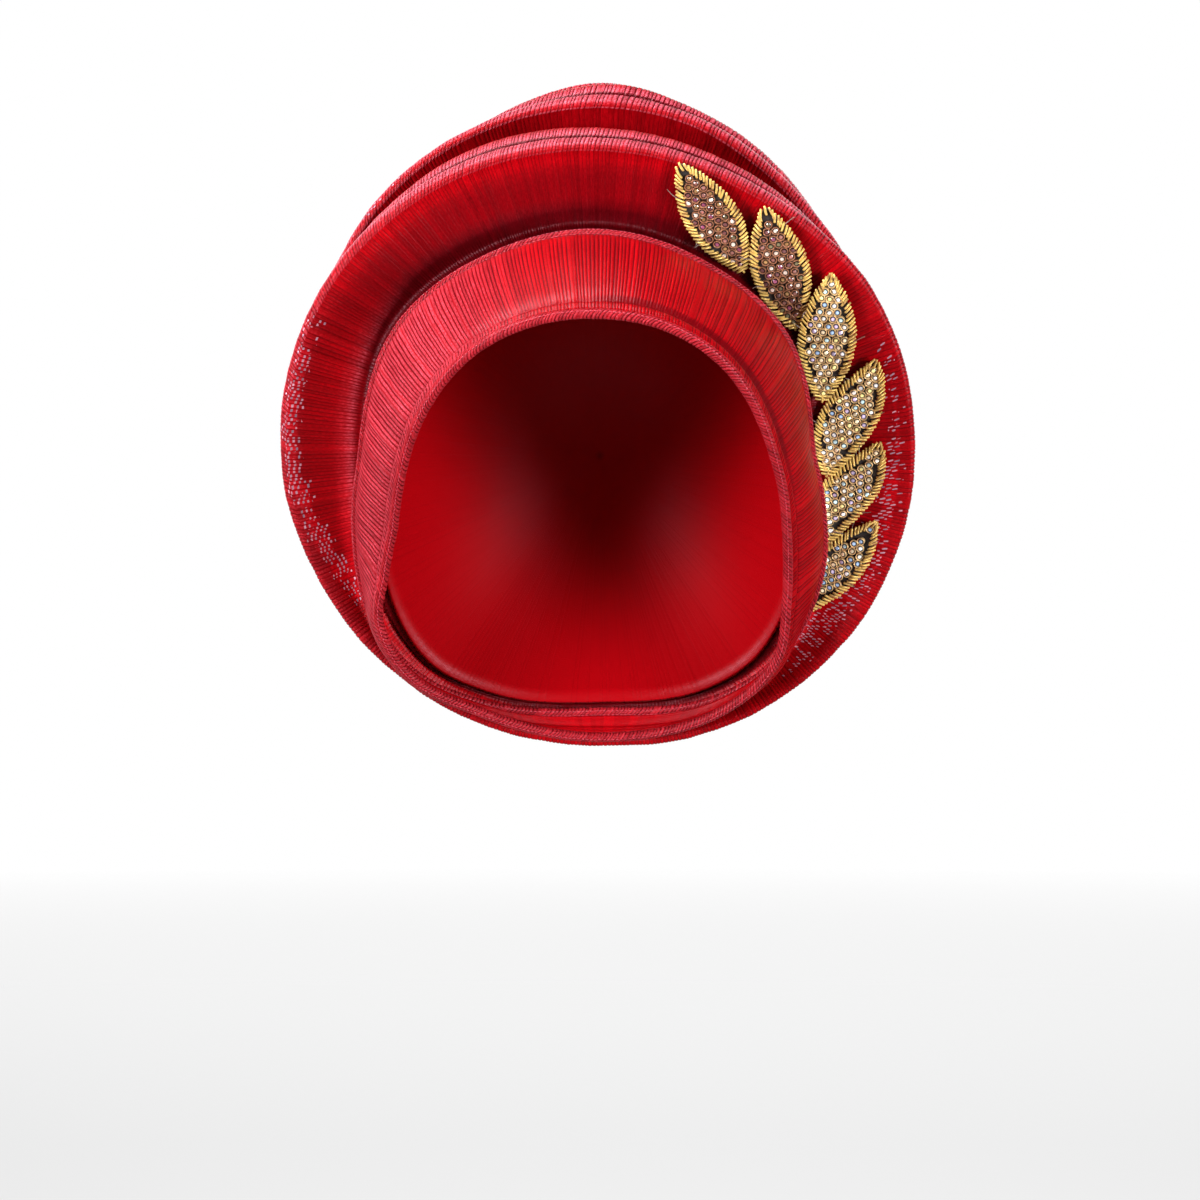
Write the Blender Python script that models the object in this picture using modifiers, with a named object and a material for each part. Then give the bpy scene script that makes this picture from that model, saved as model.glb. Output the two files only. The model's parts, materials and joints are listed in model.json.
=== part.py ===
"""Tied gele head tie: a ready-tied pleated head wrap with six beaded leaves, modelled in Blender 4.5.

Metres, +Z up, the face opening looks along -Y and +X is on the right of someone who looks at it. The origin is
where the crown rests on top of the head.

Every cloth piece runs round the head. It is lofted through rings that share one axis, which runs from front to
back at AXIS_HEIGHT. A point has an angle (0 at the top, 90 at +X, 180 at the nape), a radius from that axis and a
depth along +Y.
"""

import math
from collections import namedtuple

import bmesh
import bpy
from mathutils import Matrix, Vector
from mathutils.bvhtree import BVHTree

MM = 0.001

# Layout
AXIS_HEIGHT = -82 * MM
RING_SEGMENTS = 30
TANGENT_STEP = 6
DEPTH_STEP = 2 * MM
GAP = 0.3 * MM
SEAM = 0.7 * MM
CLOTH = 1.6 * MM
BAND_WALL = 1.8 * MM

# Pipings
FACE_PIPING_RADIUS = 1.9 * MM
BAND_PIPING_RADIUS = 1.7 * MM
PIPING_BEVEL_RESOLUTION = 1

# Skull under the cap: half sizes to the middle of the cap's wall, and how far back the cap reaches
SKULL_X, SKULL_Y, SKULL_Z = 79.5 * MM, 99.5 * MM, 85 * MM
SKULL_CENTRE_Y = 2 * MM
CAP_EDGE_BACK = 0.8 * MM
CAP_ROWS = 5

# Front band
BAND_BULGE = 2.5 * MM

# Rim of a fan: two rolled ridges with a crease between them
RIDGE_DROP = 2.4 * MM
RIDGE_REACH = 2.6 * MM
CREASE_DEPTH = 1.9 * MM

# Leaves
LEAF_FULLNESS = 0.8
BOW_SCALE = 11.3
BOW_TURN = 0.72
LEAF_OUTLINE_STEPS = 8
BACKING_INSET = 0.5 * MM
BACKING_THICKNESS = 1.0 * MM
BORDER_WIDTH = 2.8 * MM
END_INSET = 2.0
BORDER_HEIGHT = 1.7 * MM
BORDER_SHOULDER = 0.8 * MM
STONE_FACETS = 8
STONE_BASE_RADIUS = 1.5 * MM
STONE_TABLE_RADIUS = 0.85 * MM
STONE_HEIGHT = 1.5 * MM
STONE_SINK = 0.3 * MM
STONE_PITCH = 3.25 * MM
STONE_ROW_PITCH = 3.1 * MM
STONE_STAGGER = 0.25
LEAF_CLEARANCE = 0.4 * MM
OUTLINE_SAMPLES = 4
SEAT_WIDTH_SHARE = 0.4
SEAT_INSETS = 0.0, 3 * MM, 6 * MM
RAY_START = 100 * MM

# A ring of the head tie. Depths are in millimetres at the top, the sides and the nape; each row of radii is
# (angle in degrees, radius in millimetres).
Ring = namedtuple("Ring", "top side nape radii")

FACE_EDGE = Ring(-77, -45, 63, (
    (-155, 112), (-140, 114), (-128, 107), (-120, 94), (-110, 82), (-90, 70), (-60, 57.5), (-30, 48.7),
    (0, 45), (30, 47), (60, 53), (90, 62.5), (110, 74), (120, 82), (130, 93), (140, 106), (155, 112), (180, 112)))
BAND_EDGE = Ring(-37, 3, 68, (
    (-155, 109), (-141, 113), (-128, 110), (-107, 98), (-90, 90), (-60, 87), (-30, 80),
    (0, 77.5), (30, 76.5), (60, 80), (90, 80), (105, 88), (120, 98), (140, 107), (155, 107), (180, 102)))
FRONT_RIM_FACE = Ring(-43, 12, 71, (
    (-150, 116), (-120, 119), (-90, 121.5), (-60, 119.7), (-30, 115.3),
    (0, 111.5), (30, 111.3), (60, 117.2), (90, 119.8), (120, 120.5), (150, 118), (180, 114)))
FRONT_RIM_BACK = Ring(-35, 20, 77, (
    (-150, 111), (-120, 116), (-90, 119), (-60, 119.4), (-30, 119),
    (0, 116), (30, 114.7), (60, 115.7), (90, 117.5), (120, 117), (150, 113), (180, 107)))
MIDDLE_RIM_FACE = Ring(-14, 30, 84, (
    (-150, 102), (-120, 111), (-90, 116), (-60, 121), (-45, 125.3), (-30, 128), (-15, 129.8),
    (0, 130.8), (15, 128.8), (30, 124), (45, 119.5), (60, 116.5), (90, 114.5), (120, 111), (150, 102), (180, 93)))
MIDDLE_RIM_BACK = Ring(-6, 37, 88, (
    (-150, 98), (-120, 108), (-90, 114), (-60, 121), (-45, 126.3), (-30, 128.8), (-15, 132.7),
    (0, 136), (15, 132), (30, 126.7), (45, 120.5), (60, 116), (90, 113), (120, 107.5), (150, 98), (180, 88)))
REAR_RIM = Ring(22, 49, 97, (
    (-150, 90), (-120, 100), (-90, 107), (-60, 115), (-30, 127), (-15, 135),
    (0, 140), (15, 134.5), (30, 126), (60, 113), (90, 105), (120, 99), (150, 89), (180, 78)))
REAR_RIM_WIDTH = 6 * MM

# How far the cap's edge lies inside the band's edge, which stands off over the ears
EAR_ROOM = ((-150, 3), (-125, 7), (-105, 6), (-75, 1), (-40, 0), (0, 0), (40, 0), (75, 1), (105, 6), (125, 7),
            (150, 3), (180, 1))

# Feet of the fans on the cap: depth in millimetres at the top, the sides and the nape
Foot = namedtuple("Foot", "top side nape")
FRONT_FAN_FEET = Foot(-34, 6.5, 71), Foot(-12, 23, 77)
MIDDLE_FAN_FEET = Foot(-9.5, 25.5, 79.5), Foot(17, 41, 85)
REAR_FAN_FEET = Foot(19.5, 43.5, 87.5), Foot(50, 64, 93)
FOOT_LIFT = 2.2 * MM

# Face of a fan, from foot to rim: share of the way, and how far it falls back as a share of the foot spread
Dish = namedtuple("Dish", "way back")
FRONT_DISH = Dish(0.12, 0.46), Dish(0.36, 0.38), Dish(0.70, 0.20)
MIDDLE_DISH = Dish(0.20, 0.25), Dish(0.60, 0.30)
REAR_DISH = Dish(0.20, 0.18), Dish(0.60, 0.20)

# The six leaves, from the brow to the jaw: angle and radius of the tip and of the base, width, and how far the
# middle line bows away from the head, all in degrees and millimetres
Leaf = namedtuple("Leaf", "name tip_angle tip_radius base_angle base_radius width bow")
LEAVES = (
    Leaf("leaf_1", 15.8, 107.5, 40.0, 84.5, 20.0, 0.0),
    Leaf("leaf_2", 34.7, 107.0, 59.4, 85.7, 20.8, 0.0),
    Leaf("leaf_3", 53.4, 107.5, 78.5, 85.8, 20.8, 0.0),
    Leaf("leaf_4", 72.4, 109.2, 97.0, 87.8, 20.6, -2.3),
    Leaf("leaf_5", 88.6, 106.5, 112.8, 94.8, 19.0, -3.4),
    Leaf("leaf_6", 104.4, 109.8, 128.3, 101.4, 17.6, -1.5),
)

# Finish of each kind of piece: colour, roughness, metallic
CLOTH_FINISH = (0.55, 0.005, 0.02), 0.42, 0.0
PIPING_FINISH = (0.48, 0.004, 0.016), 0.38, 0.0
GOLD_FINISH = (0.83, 0.58, 0.16), 0.28, 1.0
STONE_FINISH = (0.72, 0.66, 0.58), 0.12, 0.6


def ring_depth(ring, angle):
    """Depth of a ring, or of a foot, at an angle in degrees, from its depths at the top, the sides and the nape."""
    cosine = math.cos(math.radians(angle))
    tilt = (ring.top - ring.nape) / 2
    dish = (ring.top + ring.nape) / 2 - ring.side
    return (ring.side + tilt * cosine + dish * cosine * cosine) * MM


def round_value(rows, angle):
    """Smooth value at an angle from rows of (angle, value) that go once round, by a cubic through the rows."""
    rows = sorted((a % 360, value) for a, value in rows)
    count = len(rows)
    angle %= 360
    after = next((i for i, row in enumerate(rows) if row[0] > angle), count)
    near = []
    for step in (-2, -1, 0, 1):
        turn, index = divmod(after + step, count)
        near.append((rows[index][0] + 360 * turn, rows[index][1]))
    (a0, v0), (a1, v1), (a2, v2), (a3, v3) = near
    slope1 = (v2 - v0) / (a2 - a0)
    slope2 = (v3 - v1) / (a3 - a1)
    span = a2 - a1
    t = (angle - a1) / span
    return ((2 * t**3 - 3 * t**2 + 1) * v1 + (t**3 - 2 * t**2 + t) * span * slope1
            + (3 * t**2 - 2 * t**3) * v2 + (t**3 - t**2) * span * slope2)


def ring_point(ring, angle):
    """A ring at an angle, as a 2D vector of radius and depth."""
    return Vector((round_value(ring.radii, angle) * MM, ring_depth(ring, angle)))


def place(angle, point):
    """World position of a radius and depth at an angle."""
    turn = math.radians(angle)
    return Vector((point[0] * math.sin(turn), point[1], AXIS_HEIGHT + point[0] * math.cos(turn)))


def skull_radius(angle, depth):
    """Radius of the skull's ellipsoid at an angle and a depth."""
    turn = math.radians(angle)
    across = 1 / math.hypot(math.sin(turn) / SKULL_X, math.cos(turn) / SKULL_Z)
    along = (depth - SKULL_CENTRE_Y) / SKULL_Y
    return across * math.sqrt(max(0.0, 1 - along * along))


def cap_edge(angle):
    """Front edge of the cap, in the middle of its wall, just inside the piping of the band."""
    edge = ring_point(BAND_EDGE, angle)
    inside = BAND_PIPING_RADIUS + GAP + CLOTH / 2 + round_value(EAR_ROOM, angle) * MM
    return Vector((edge.x - inside, edge.y + CAP_EDGE_BACK))


def cap_point(angle, share):
    """Middle of the cap's wall, from its front edge (share 0) to the back of the head (share 1)."""
    edge = cap_edge(angle)
    back = SKULL_CENTRE_Y + SKULL_Y
    depth = edge.y + (back - edge.y) * math.sin(share * math.pi / 2)
    spread = edge.x - skull_radius(angle, edge.y)
    return Vector((skull_radius(angle, depth) + spread * (1 - share), depth))


def cap_radius(angle, depth):
    """Radius of the middle of the cap's wall at a depth."""
    edge = cap_edge(angle)
    back = SKULL_CENTRE_Y + SKULL_Y
    rise = min(1.0, max(0.0, (depth - edge.y) / (back - edge.y)))
    return cap_point(angle, math.asin(rise) * 2 / math.pi).x


def fan_foot(foot, angle):
    """Where a fan meets the cap, lifted clear of its wall, further where the cap slants away from its axis."""
    depth = ring_depth(foot, angle)
    step = TANGENT_STEP
    round_it = (place(angle + step, (cap_radius(angle + step, depth), depth))
                - place(angle - step, (cap_radius(angle - step, depth), depth)))
    back = (place(angle, (cap_radius(angle, depth + DEPTH_STEP), depth + DEPTH_STEP))
            - place(angle, (cap_radius(angle, depth - DEPTH_STEP), depth - DEPTH_STEP)))
    turn = math.radians(angle)
    facing = abs(round_it.cross(back).normalized().dot(Vector((math.sin(turn), 0, math.cos(turn)))))
    return Vector((cap_radius(angle, depth) + FOOT_LIFT / facing, depth))


def ridges(face, back):
    """Rim of a fan from its face to its back: the two rolled ridges and the crease between them."""
    along = (back - face).normalized()
    out = Vector((along.y, -along.x))
    rim = out * (CLOTH / 2)
    return (
        face - along * RIDGE_REACH - out * RIDGE_DROP,
        face - rim,
        (face + back) / 2 - rim - out * CREASE_DEPTH,
        back - rim,
        back + along * RIDGE_REACH - out * RIDGE_DROP,
    )


def fan_section(feet, dish, face, back, angle):
    """Section of a fan: foot, dished face, two ridges, back slope and second foot."""
    front_foot = fan_foot(feet[0], angle)
    rear_foot = fan_foot(feet[1], angle)
    rim = ridges(face, back)
    spread = Vector((0, rear_foot.y - front_foot.y))
    fall = [front_foot.lerp(rim[0], row.way) + spread * row.back for row in dish]
    return [front_foot, *fall, *rim, rear_foot]


def front_fan_section(angle):
    return fan_section(FRONT_FAN_FEET, FRONT_DISH, ring_point(FRONT_RIM_FACE, angle),
                       ring_point(FRONT_RIM_BACK, angle), angle)


def middle_fan_section(angle):
    return fan_section(MIDDLE_FAN_FEET, MIDDLE_DISH, ring_point(MIDDLE_RIM_FACE, angle),
                       ring_point(MIDDLE_RIM_BACK, angle), angle)


def rear_fan_section(angle):
    crest = ring_point(REAR_RIM, angle)
    half = Vector((0, REAR_RIM_WIDTH / 2))
    return fan_section(REAR_FAN_FEET, REAR_DISH, crest - half, crest + half, angle)


def slant(ring, angle, along):
    """How much longer a step along a section is than its distance from the ring that it leaves at a slant."""
    step = TANGENT_STEP
    tangent = place(angle + step, ring_point(ring, angle + step)) - place(angle - step, ring_point(ring, angle - step))
    turn = math.radians(angle)
    outward = Vector((along.x * math.sin(turn), along.y, along.x * math.cos(turn)))
    return 1 / outward.cross(tangent.normalized()).length


def band_section(angle):
    """Section of the band, from the face piping to the band piping, with a slight bulge."""
    face = ring_point(FACE_EDGE, angle)
    rear = ring_point(BAND_EDGE, angle)
    along = (rear - face).normalized()
    out = Vector((along.y, -along.x))
    start = face + along * (FACE_PIPING_RADIUS + SEAM) * slant(FACE_EDGE, angle, along)
    end = rear - along * (BAND_PIPING_RADIUS + SEAM) * slant(BAND_EDGE, angle, along)
    return [start, start.lerp(end, 0.5) + out * BAND_BULGE, end]


def cap_section(angle):
    """Section of the cap, without its last point on the axis."""
    return [cap_point(angle, row / CAP_ROWS) for row in range(CAP_ROWS)]


def new_object(name, mesh, finish, collection):
    """Object with its own Principled material."""
    colour, roughness, metallic = finish
    material = bpy.data.materials.new(name)
    material.use_nodes = True
    shader = material.node_tree.nodes["Principled BSDF"]
    shader.inputs["Base Color"].default_value = (*colour, 1)
    shader.inputs["Roughness"].default_value = roughness
    shader.inputs["Metallic"].default_value = metallic
    mesh.materials.append(material)
    obj = bpy.data.objects.new(name, mesh)
    collection.objects.link(obj)
    return obj


def mesh_from(bm, name):
    """Mesh data made of a bmesh, which is freed."""
    mesh = bpy.data.meshes.new(name)
    bm.to_mesh(mesh)
    bm.free()
    return mesh


def ring_shell(name, section, wall, collection, pole=None):
    """Cloth wall lofted through one section at each angle round the head, closed at a pole if one is given."""
    bm = bmesh.new()
    angles = [360 * step / RING_SEGMENTS for step in range(RING_SEGMENTS)]
    columns = [[bm.verts.new(place(angle, point)) for point in section(angle)] for angle in angles]
    top = bm.verts.new(pole) if pole else None
    for left, right in zip(columns, columns[1:] + columns[:1]):
        for row in range(len(left) - 1):
            bm.faces.new((left[row], left[row + 1], right[row + 1], right[row]))
        if top:
            bm.faces.new((left[-1], top, right[-1]))
    bmesh.ops.recalc_face_normals(bm, faces=bm.faces)
    mesh = mesh_from(bm, name)
    mesh.shade_smooth()
    shell = new_object(name, mesh, CLOTH_FINISH, collection)
    solidify = shell.modifiers.new("wall", "SOLIDIFY")
    solidify.thickness = wall
    solidify.offset = 0
    solidify.use_even_offset = True
    return shell


def piping(name, ring, radius, collection):
    """Rolled piping along a ring, a closed curve with a round bevel."""
    curve = bpy.data.curves.new(name, "CURVE")
    curve.dimensions = "3D"
    curve.bevel_depth = radius
    curve.bevel_resolution = PIPING_BEVEL_RESOLUTION
    spline = curve.splines.new("POLY")
    spline.points.add(RING_SEGMENTS - 1)
    for step, point in enumerate(spline.points):
        angle = 360 * step / RING_SEGMENTS
        point.co = (*place(angle, ring_point(ring, angle)), 1)
    spline.use_cyclic_u = True
    return new_object(name, curve, PIPING_FINISH, collection)


def dish_depth(angle, radius):
    """Depth of the front fan's face at an angle and radius, on straight lines between its section's points."""
    face = front_fan_section(angle)[:len(FRONT_DISH) + 3]
    for low, high in zip(face, face[1:]):
        if low.x <= radius <= high.x:
            return low.y + (high.y - low.y) * (radius - low.x) / (high.x - low.x)
    return None


def on_dish(angle, radius):
    """World position on the face of the front fan."""
    return place(angle, (radius, dish_depth(angle, radius)))


def round_about(point):
    """Angle in degrees and radius of a world position."""
    rise = point.z - AXIS_HEIGHT
    return math.degrees(math.atan2(point.x, rise)), math.hypot(point.x, rise)


def leaf_half_width(leaf, share, inset):
    """Half width of a leaf at a share of its length, less an inset."""
    return max(0.0, leaf.width * MM / 2 * math.sin(math.pi * share) ** LEAF_FULLNESS - inset)


def leaf_middle(leaf, share):
    """Sideways bow of a leaf's middle line, widest below its middle and slightly reversed at the tip."""
    return leaf.bow * MM * BOW_SCALE * share * (1 - share) * (BOW_TURN - share)


def leaf_outline(leaf, length, inset):
    """Outline of a leaf from base to tip and back, as 2D points across and along it, drawn in by an inset."""
    start = inset * END_INSET / length
    shares = [start + (1 - 2 * start) * (1 - math.cos(math.pi * step / LEAF_OUTLINE_STEPS)) / 2
              for step in range(LEAF_OUTLINE_STEPS + 1)]
    sides = []
    for side in (1, -1):
        sides.append([Vector((leaf_middle(leaf, s) + side * leaf_half_width(leaf, s, inset), s * length))
                      for s in shares])
    right, left = sides[0], sides[1][1:-1]
    return right + left[::-1]


def leaf_frame(leaf, fan):
    """Place of a leaf: origin at its base, X across, Y to its tip and Z out of the dish, resting on the fan."""
    tip = on_dish(leaf.tip_angle, leaf.tip_radius * MM)
    base = on_dish(leaf.base_angle, leaf.base_radius * MM)
    along = (tip - base).normalized()
    middle = (tip + base) / 2
    across = along.cross(Vector((0, -1, 0))).normalized()
    sides = []
    for side in (-1, 1):
        angle, radius = round_about(middle + across * side * leaf.width * MM * SEAT_WIDTH_SHARE)
        lowest = front_fan_section(angle)[1].x
        sides.append(on_dish(angle, max(radius, lowest)))
    out = (sides[1] - sides[0]).cross(along).normalized()
    across = along.cross(out)
    frame = Matrix((across, along, out)).transposed().to_4x4()
    frame.translation = base
    length = (tip - base).length
    backward = Vector((0, 1, 0))
    lift = 0.0
    for inset in SEAT_INSETS:
        outline = leaf_outline(leaf, length, inset)
        for here, following in zip(outline, outline[1:] + outline[:1]):
            for part in range(OUTLINE_SAMPLES):
                point = frame @ here.lerp(following, part / OUTLINE_SAMPLES).to_3d()
                hit = fan.ray_cast(point - backward * RAY_START, backward)[0]
                if hit is not None:
                    lift = max(lift, point.y - hit.y)
    frame.translation = base - backward * (lift + LEAF_CLEARANCE / -out.y)
    return frame, length


def stone_spots(leaf, length):
    """Middles of a leaf's stones, in staggered rows inside its border."""
    side_inset = BORDER_WIDTH + STONE_BASE_RADIUS
    end_inset = BORDER_WIDTH * END_INSET + STONE_BASE_RADIUS
    rows = int((length - 2 * end_inset) / STONE_ROW_PITCH) + 1
    first = (length - (rows - 1) * STONE_ROW_PITCH) / 2
    columns = int(leaf.width * MM / STONE_PITCH)
    spots = []
    for row in range(rows):
        y = first + row * STONE_ROW_PITCH
        reach = min(leaf_half_width(leaf, (y + side * STONE_BASE_RADIUS / 2) / length, side_inset)
                    for side in (1, -1))
        stagger = STONE_STAGGER if row % 2 else -STONE_STAGGER
        for column in range(-columns, columns + 1):
            x = (column + stagger) * STONE_PITCH
            if abs(x) <= reach:
                spots.append(Vector((leaf_middle(leaf, y / length) + x, y)))
    return spots


def leaf_stones(leaf, frame, length, collection, cutters):
    """Dark backing of a leaf with its field of cut stones fused to it."""
    bm = bmesh.new()
    outline = [bm.verts.new(point.to_3d()) for point in leaf_outline(leaf, length, BACKING_INSET)]
    sheet = bm.faces.new(outline)
    if sheet.normal.z < 0:
        sheet.normal_flip()
    raised = bmesh.ops.extrude_face_region(bm, geom=[sheet])
    lifted = [item for item in raised["geom"] if isinstance(item, bmesh.types.BMVert)]
    bmesh.ops.translate(bm, verts=lifted, vec=(0, 0, BACKING_THICKNESS))
    bmesh.ops.recalc_face_normals(bm, faces=bm.faces)
    backing = new_object(leaf.name + "_stones", mesh_from(bm, leaf.name), STONE_FINISH, collection)
    backing.matrix_world = frame

    bm = bmesh.new()
    for spot in stone_spots(leaf, length):
        height = BACKING_THICKNESS - STONE_SINK + STONE_HEIGHT / 2
        bmesh.ops.create_cone(bm, cap_ends=True, segments=STONE_FACETS, radius1=STONE_BASE_RADIUS,
                              radius2=STONE_TABLE_RADIUS, depth=STONE_HEIGHT,
                              matrix=Matrix.Translation((spot.x, spot.y, height)))
    field = new_object(leaf.name + "_field", mesh_from(bm, leaf.name + "_field"), STONE_FINISH, cutters)
    field.matrix_world = frame
    field.hide_render = True
    field.display_type = "WIRE"
    fuse = backing.modifiers.new("stones", "BOOLEAN")
    fuse.operation = "UNION"
    fuse.object = field
    return backing


def leaf_border(leaf, frame, length, collection):
    """Raised gold border of a leaf: a ring of four-sided section round its outline."""
    foot = BACKING_THICKNESS + GAP
    top = foot + BORDER_HEIGHT
    section = ((0, foot), (BORDER_SHOULDER, top), (BORDER_WIDTH - BORDER_SHOULDER, top), (BORDER_WIDTH, foot))
    bm = bmesh.new()
    rings = []
    for inset, height in section:
        rings.append([bm.verts.new((point.x, point.y, height)) for point in leaf_outline(leaf, length, inset)])
    for inner, outer in zip(rings, rings[1:] + rings[:1]):
        for step in range(len(inner)):
            following = (step + 1) % len(inner)
            bm.faces.new((inner[step], inner[following], outer[following], outer[step]))
    bmesh.ops.recalc_face_normals(bm, faces=bm.faces)
    border = new_object(leaf.name + "_border", mesh_from(bm, leaf.name + "_border"), GOLD_FINISH, collection)
    border.matrix_world = frame
    return border


def main():
    for obj in list(bpy.data.objects):
        bpy.data.objects.remove(obj)
    parts = bpy.data.collections.new("gele_head_tie")
    cutters = bpy.data.collections.new("cutters")
    for collection in (parts, cutters):
        bpy.context.scene.collection.children.link(collection)
    piping("face_piping", FACE_EDGE, FACE_PIPING_RADIUS, parts)
    piping("band_piping", BAND_EDGE, BAND_PIPING_RADIUS, parts)
    ring_shell("front_band", band_section, BAND_WALL, parts)
    back_of_head = (0, SKULL_CENTRE_Y + SKULL_Y, AXIS_HEIGHT)
    ring_shell("crown_cap", cap_section, CLOTH, parts, pole=back_of_head)
    front_fan = ring_shell("front_fan", front_fan_section, CLOTH, parts)
    ring_shell("middle_fan", middle_fan_section, CLOTH, parts)
    ring_shell("rear_fan", rear_fan_section, CLOTH, parts)
    bpy.context.view_layer.update()
    fan = BVHTree.FromObject(front_fan, bpy.context.evaluated_depsgraph_get())
    for leaf in LEAVES:
        frame, length = leaf_frame(leaf, fan)
        leaf_stones(leaf, frame, length, parts, cutters)
        leaf_border(leaf, frame, length, parts)


main()
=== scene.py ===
"""Looks of the tied gele head tie, built in Blender 4.5 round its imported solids.

Metres, +Z up, the face opening looks along -Y. Every cloth piece runs round one axis from front to back, at
AXIS_HEIGHT. A point has an angle in degrees (0 at the top, 90 at +X, 180 at the nape), a radius from the axis
and a depth along +Y. A section is a row of (radius, depth) points at an angle; arrays have one row per angle.
"""

from __future__ import annotations

import json
import logging
import math
from contextlib import contextmanager
from dataclasses import dataclass, field
from enum import Enum
from typing import Callable, Iterator, NamedTuple, Sequence

import bmesh
import bpy
import numpy as np
from mathutils import Matrix, Vector
from mathutils.bvhtree import BVHTree

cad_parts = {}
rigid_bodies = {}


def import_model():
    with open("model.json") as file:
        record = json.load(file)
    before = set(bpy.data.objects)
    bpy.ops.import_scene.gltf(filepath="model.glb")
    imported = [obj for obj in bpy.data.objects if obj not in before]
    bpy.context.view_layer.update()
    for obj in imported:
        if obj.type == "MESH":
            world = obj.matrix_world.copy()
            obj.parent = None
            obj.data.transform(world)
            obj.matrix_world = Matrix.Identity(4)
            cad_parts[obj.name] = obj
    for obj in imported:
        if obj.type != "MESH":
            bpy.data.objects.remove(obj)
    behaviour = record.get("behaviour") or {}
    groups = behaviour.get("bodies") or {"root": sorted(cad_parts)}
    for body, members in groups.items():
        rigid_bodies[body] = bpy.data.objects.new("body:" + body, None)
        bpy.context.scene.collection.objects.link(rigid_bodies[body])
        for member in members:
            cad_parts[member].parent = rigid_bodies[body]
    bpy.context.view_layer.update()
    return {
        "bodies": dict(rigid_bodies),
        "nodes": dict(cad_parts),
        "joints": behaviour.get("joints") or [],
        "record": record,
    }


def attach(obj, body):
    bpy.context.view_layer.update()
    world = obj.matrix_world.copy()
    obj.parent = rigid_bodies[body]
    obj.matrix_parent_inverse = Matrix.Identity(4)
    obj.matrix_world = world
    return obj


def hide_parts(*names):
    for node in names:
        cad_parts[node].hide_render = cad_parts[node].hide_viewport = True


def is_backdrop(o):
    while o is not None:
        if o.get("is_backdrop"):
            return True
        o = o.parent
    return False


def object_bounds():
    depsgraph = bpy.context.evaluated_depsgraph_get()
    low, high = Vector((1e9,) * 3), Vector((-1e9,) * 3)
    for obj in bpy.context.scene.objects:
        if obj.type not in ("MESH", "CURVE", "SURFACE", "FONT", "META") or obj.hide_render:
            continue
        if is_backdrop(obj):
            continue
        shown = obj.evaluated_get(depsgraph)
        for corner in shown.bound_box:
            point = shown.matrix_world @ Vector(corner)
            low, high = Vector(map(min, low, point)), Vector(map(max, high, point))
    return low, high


MM = 0.001
AXIS_HEIGHT = -82 * MM
ROOT = "root"
GAP = 0.3 * MM
SEAM = 0.2 * MM
CLOTH = 1.6 * MM
BAND_WALL = 1.8 * MM
FACE_PIPING_RADIUS = 1.9 * MM
BAND_PIPING_RADIUS = 1.7 * MM
RIB_LEVEL = 0.6

Array = np.ndarray
Pair = tuple[float, float]
Rows = tuple[Pair, ...]
Colour = tuple[float, float, float, float]
Mesh = bpy.types.Mesh
Material = bpy.types.Material
Object = bpy.types.Object
Socket = bpy.types.NodeSocket

log = logging.getLogger("head_tie")


# Arrays round the head.


def cubic(t: Array, start: Array, leaving: Array, end: Array, arriving: Array) -> Array:
    """Values at shares t of a cubic from start to end, with its slopes where it leaves and arrives."""
    return ((2 * t**3 - 3 * t**2 + 1) * start + (t**3 - 2 * t**2 + t) * leaving
            + (3 * t**2 - 2 * t**3) * end + (t**3 - t**2) * arriving)


def round_values(rows: Sequence[Pair], angles: Array) -> Array:
    """Smooth values at angles from rows that go once round, by a cubic through the rows.

    Args:
        rows: Pairs of angle in degrees and value.
        angles: Angles in degrees.

    Returns:
        One value for each angle.
    """
    knots = np.array(sorted((a % 360, value) for a, value in rows))
    count = len(knots)
    angles = np.asarray(angles, float) % 360
    after = np.searchsorted(knots[:, 0], angles, side="right")
    index = after[..., None] + np.arange(-2, 2)
    a = knots[index % count, 0] + 360 * np.floor_divide(index, count)
    v = knots[index % count, 1]
    span = a[..., 2] - a[..., 1]
    slope1 = (v[..., 2] - v[..., 0]) / (a[..., 2] - a[..., 0]) * span
    slope2 = (v[..., 3] - v[..., 1]) / (a[..., 3] - a[..., 1]) * span
    t = (angles - a[..., 1]) / span
    return cubic(t, v[..., 1], slope1, v[..., 2], slope2)


def place(angles: Array, points: Array) -> Array:
    """World positions of points at angles, with radius and depth in their last axis."""
    turn = np.radians(angles)
    radius = points[..., 0]
    return np.stack((radius * np.sin(turn), points[..., 1], AXIS_HEIGHT + radius * np.cos(turn)), -1)


def unit(vectors: Array) -> Array:
    """Vectors scaled to length 1."""
    return vectors / np.maximum(np.linalg.norm(vectors, axis=-1, keepdims=True), 1e-12)


def quarter_turn(directions: Array) -> Array:
    """Directions in radius and depth, turned from along a section to out of it."""
    return np.stack((directions[..., 1], -directions[..., 0]), -1)


def outward(angles: Array) -> Array:
    """World directions that point away from the axis at angles."""
    turn = np.radians(angles)
    return np.stack((np.sin(turn), np.zeros_like(turn), np.cos(turn)), -1)


def distances(points: Array) -> Array:
    """Distance of each point in a row from the first one, along the row."""
    return np.concatenate(([0.0], np.cumsum(np.linalg.norm(np.diff(points, axis=0), axis=1))))


class Span(NamedTuple):
    """Stretch of values whose ends fade over a soft width."""

    low: float | Array
    high: float | Array
    soft: float

    def of(self, values: Array) -> Array:
        """1 inside the stretch and 0 outside it, smooth at its ends."""
        start = np.clip((values - self.low) / self.soft, 0, 1)
        end = np.clip((self.high - values) / self.soft, 0, 1)
        rise = start * end
        return rise * rise * (3 - 2 * rise)


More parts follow.
